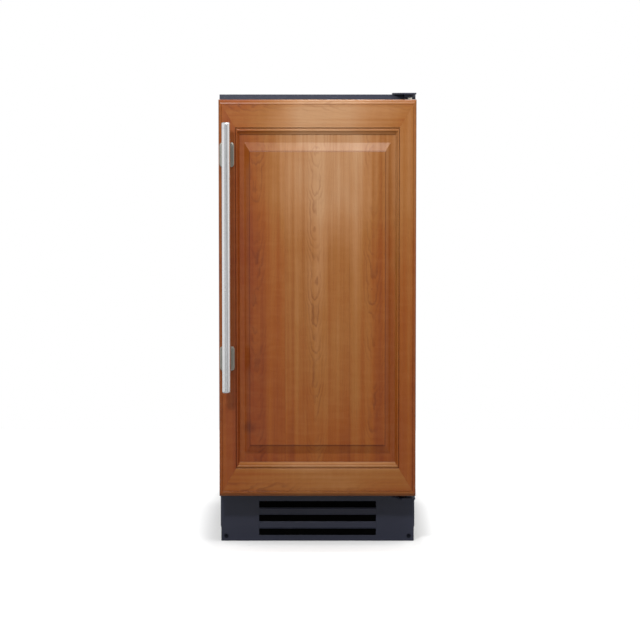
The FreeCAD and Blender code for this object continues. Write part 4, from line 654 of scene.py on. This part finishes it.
def gasket():
    """The door seal: a bellows extruded in vinyl and welded at its mitred corners."""
    low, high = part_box("door_gasket")
    wide, tall = 12.0, 8.4
    # distance in from the outer edge, and distance back from the door, in millimetres
    section = [
        (0.0, 0.0), (wide, 0.0), (wide, 1.3), (10.4, 1.7), (9.6, 2.6), (10.6, 3.6),
        (10.2, 4.5), (9.4, 5.0), (10.4, 6.0), (11.2, 7.2), (10.8, 8.1), (9.6, tall),
        (2.6, tall), (1.4, 8.1), (0.9, 7.2), (1.9, 6.0), (2.6, 5.0), (1.6, 4.4),
        (1.3, 3.5), (2.4, 2.6), (1.6, 1.7), (0.0, 1.3),
    ]
    edge_radius = 0.25
    deep = (high.y - low.y) / MM / tall
    points, faces = [], []
    corners = ((-1, -1), (1, -1), (1, 1), (-1, 1))
    for inset, back in section:
        for sx, sz in corners:
            x = high.x - inset * MM if sx > 0 else low.x + inset * MM
            z = high.z - inset * MM if sz > 0 else low.z + inset * MM
            points.append((x, low.y + back * deep * MM, z))
    count = len(section)
    for i in range(count):
        after = (i + 1) % count
        for k in range(4):
            turn = (k + 1) % 4
            faces.append((4 * i + k, 4 * i + turn, 4 * after + turn, 4 * after + k))
    made = piece("gasket_bellows", points, faces, "door", "gasket_rubber")
    soft = made.modifiers.new("round", "BEVEL")
    soft.width = edge_radius * MM
    soft.segments = 2
    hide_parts("door_gasket")


def air_filter():
    """The dust screen, two layers of crossing wires, and its pad behind the kick plate."""
    low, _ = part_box("toe_kick_grille")
    front_gauge = 1.5 * MM
    plate_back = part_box("front_frame")[0].y + front_gauge
    half, z0, z1 = 120 * MM, low.z + 7 * MM, low.z + 85 * MM
    # near-black, darker than any foam: the filter's own black with painted shade behind the kick
    # plate's slots
    dark = rubber("filter_black_and_shade", (0.0015, 0.0015, 0.0015), 0.9, 0.03)

    pad_front, pad_back = plate_back + 1.9 * MM, plate_back + 3.6 * MM
    points, faces = [], []
    add_block(points, faces, (-half, pad_front, z0), (half, pad_back, z1))
    piece("air_filter_pad", points, faces, "cabinet", "black_plastic", dark)

    pitch, wire = 3.0 * MM, 0.22 * MM
    y = plate_back + 1.0 * MM
    points, faces = [], []
    for k in range(int(2 * half / pitch) + 1):
        x = -half + k * pitch
        add_block(points, faces, (x - wire, y - wire, z0), (x + wire, y + wire, z1))
    for k in range(int((z1 - z0) / pitch) + 1):
        z = z0 + k * pitch
        add_block(points, faces, (-half, y + wire, z - wire), (half, y + 3 * wire, z + wire))
    piece("air_filter_screen", points, faces, "cabinet", "black_plastic", dark)


def louvre_hoods():
    """Pressed hoods over the rear vents, each a half dome that opens downwards."""
    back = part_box("service_cover")[1].y
    # the vents of the CAD's cover: two columns, how high they start, and how many there are
    column_x, lowest, pitch, rows = 78 * MM, 130 * MM, 12 * MM, 9
    half, tall, proud = 57 * MM, 7.5 * MM, 4.2 * MM
    gauge = 0.8 * MM
    straight = 0.6             # the share of a hood's length before its ends round off
    thinnest = 0.05            # keeps a hood's pointed ends from closing up
    steps, ends = 8, 5
    points, faces = [], []
    for centre_x in (-column_x, column_x):
        for row in range(rows):
            z0 = lowest + pitch * row
            first = len(points)
            for i in range(-ends, ends + 1):
                past = max(0.0, abs(i) / ends - straight) / (1 - straight)
                swell = math.sqrt(max(0.0, 1 - past ** 2))
                for k in range(steps + 1):
                    turn = math.pi / 2 * k / steps
                    points.append((
                        centre_x + half * i / ends,
                        back + proud * swell * math.cos(turn),
                        z0 - gauge + tall * math.sin(turn) * max(swell, thinnest),
                    ))
            for i in range(2 * ends):
                for k in range(steps):
                    a = first + i * (steps + 1) + k
                    faces.append((a, a + 1, a + steps + 2, a + steps + 1))
    made = piece("louvre_hoods", points, faces, "cabinet", "galvanised_steel", smooth=True)
    shell = made.modifiers.new("sheet", "SOLIDIFY")
    shell.thickness = gauge
    shell.offset = -1


def fin_pack():
    """The condenser's fins as thin sheets, in place of the CAD's plain block."""
    low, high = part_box("condenser_fins")
    count, gauge = 96, 0.18 * MM
    points, faces = [], []
    for k in range(count):
        x = low.x + (high.x - low.x - gauge) * k / (count - 1)
        add_block(points, faces, (x, low.y, low.z), (x + gauge, high.y, high.z))
    made = piece("condenser_fin_pack", points, faces, "cabinet", "fin_aluminium")
    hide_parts("condenser_fins")


gasket()
air_filter()
louvre_hoods()
fin_pack()


# ---------------------------------------------------------------- floor, light, camera

# how strongly the grey room shines from each side, and how the paper floor glows and bounces
WORLD_FRONT = 0.10
WORLD_BESIDE = 0.65
WORLD_ABOVE = 0.25
WORLD_BEHIND = 0.5
FLOOR_GLOW = 0.16
FLOOR_GLOW_AWAY = 0.4
FLOOR_BOUNCE = 0.36
# how far from the object, in millimetres, the paper's glow rises to full strength: a painted
# shadow round the object's foot
SHADOW_FADE = (4.0, 70.0)

WHITE = (1.0, 1.0, 1.0)
WARM = (1.0, 0.955, 0.87)
# name, place, target, size, watts, colour
LIGHTS = (
    ("key", (-0.42, -2.0, 1.5), (0.0, -0.28, 0.55), (0.2, 0.2), 19.5, WHITE),
    ("gloss_card", (0.35, -1.25, 1.62), (0.0, -0.28, 0.78), (0.8, 0.14), 8.5, WHITE),
    ("top", (0.1, 0.0, 3.0), (0.0, 0.0, 0.0), (0.15, 0.15), 16.0, WHITE),
    ("top_right", (0.7, -0.45, 1.9), (0.1, -0.25, 0.87), (0.4, 0.4), 3.0, WARM),
    ("low_card", (-0.35, -2.6, 0.3), (0.0, -0.2, 0.3), (1.0, 0.5), 1.2, WHITE),
    ("left_card", (-1.9, -1.0, 0.8), (0.0, -0.2, 0.5), (1.2, 1.8), 2.0, WHITE),
    ("right_card", (1.9, -1.0, 0.8), (0.0, -0.2, 0.5), (1.2, 1.8), 2.0, WHITE),
)

CAMERA_BACK = 5.2
CAMERA_HEIGHT = 0.848
CAMERA_RIGHT = 0.0048
CAMERA_PITCH = 4.51
CAMERA_LENS = 153.06


def seen_or_lighting(g, seen, lighting, output):
    """Shows the camera one shader and lights the object with another."""
    is_seen = g.node("LightPath").outputs["Is Camera Ray"]
    both = g.node("MixShader", {0: is_seen, 1: lighting.outputs[0], 2: seen.outputs[0]})
    g.node(output, {"Surface": both.outputs[0]})


def stage_floor():
    """White paper under the object, which lights it less than it lights the picture; its glow is
    weaker near the object's foot, a painted shadow.
    """
    mesh = bpy.data.meshes.new("studio_floor")
    half, front, back = 2.0, -2.2, 1.6
    corners = [(-half, front, 0), (half, front, 0), (half, back, 0), (-half, back, 0)]
    mesh.from_pydata(corners, [], [(0, 1, 2, 3)])
    floor = bpy.data.objects.new("studio_floor", mesh)
    bpy.context.scene.collection.objects.link(floor)
    g = Graph("studio_floor")
    point = g.position()
    x, y, _ = g.split(point)
    beside = g.math("MAXIMUM", g.add(g.math("ABSOLUTE", x), -cad_high.x / MM), 0.0)
    ahead = g.math("MAXIMUM", g.add(g.times(y, -1.0), cad_low.y / MM), 0.0)
    # the paper glows less close to the object: painted shadow
    clear_of_painted_shadow = g.step(g.add(beside, ahead), *SHADOW_FADE)
    paper = g.mix(g.noise(point, 2.0, scale=0.01), (0.86, 0.86, 0.86), (0.88, 0.88, 0.88))
    seen = g.node("BsdfPrincipled", {
        "Base Color": paper, "Roughness": 0.9, "Specular IOR Level": 0.1,
        "Emission Color": (*WHITE, 1.0),
        "Emission Strength": g.add(g.times(clear_of_painted_shadow, FLOOR_GLOW_AWAY), FLOOR_GLOW),
    })
    bounce = g.node("BsdfDiffuse", {"Color": (FLOOR_BOUNCE, FLOOR_BOUNCE, FLOOR_BOUNCE, 1.0)})
    seen_or_lighting(g, seen, bounce, "OutputMaterial")
    dress(floor, g.material)


def world():
    """White behind the object; for its light, a grey room that is brighter above and beside."""
    made = bpy.data.worlds.new("studio")
    bpy.context.scene.world = made
    made.use_nodes = True
    g = Graph("studio", made.node_tree)
    x, y, z = g.split(g.node("TexCoord").outputs["Generated"])
    beside = g.times(g.math("ABSOLUTE", x), WORLD_BESIDE)
    above = g.times(g.math("MAXIMUM", z, 0.0), WORLD_ABOVE)
    behind = g.times(g.math("MAXIMUM", y, 0.0), WORLD_BEHIND)
    level = g.add(g.add(g.add(beside, above), behind), WORLD_FRONT)
    light = g.node("Background", {"Color": (*WHITE, 1.0), "Strength": level})
    seen = g.node("Background", {"Color": (*WHITE, 1.0), "Strength": 1.0})
    seen_or_lighting(g, seen, light, "OutputWorld")


def area_light(name, place, target, size, watts, colour):
    """A rectangular light card that the camera doesn't see."""
    data = bpy.data.lights.new(name, "AREA")
    data.shape = "RECTANGLE"
    data.size, data.size_y = size
    data.energy = watts
    data.color = colour
    made = bpy.data.objects.new(name, data)
    made.location = place
    made.rotation_euler = (Vector(target) - Vector(place)).to_track_quat("-Z", "Y").to_euler()
    made.visible_camera = False
    bpy.context.scene.collection.objects.link(made)


def camera():
    """A long lens, far in front of the door and level with its top, looking slightly down."""
    data = bpy.data.cameras.new("camera")
    data.sensor_width = 36.0
    data.lens = CAMERA_LENS
    data.clip_end = 60.0
    made = bpy.data.objects.new("camera", data)
    made.location = (CAMERA_RIGHT, face_y * MM - CAMERA_BACK, CAMERA_HEIGHT)
    made.rotation_euler = Euler((math.radians(90 - CAMERA_PITCH), 0, 0))
    bpy.context.scene.collection.objects.link(made)
    bpy.context.scene.camera = made


stage_floor()
world()
for light in LIGHTS:
    area_light(*light)
camera()
bpy.context.scene.view_settings.view_transform = "Standard"
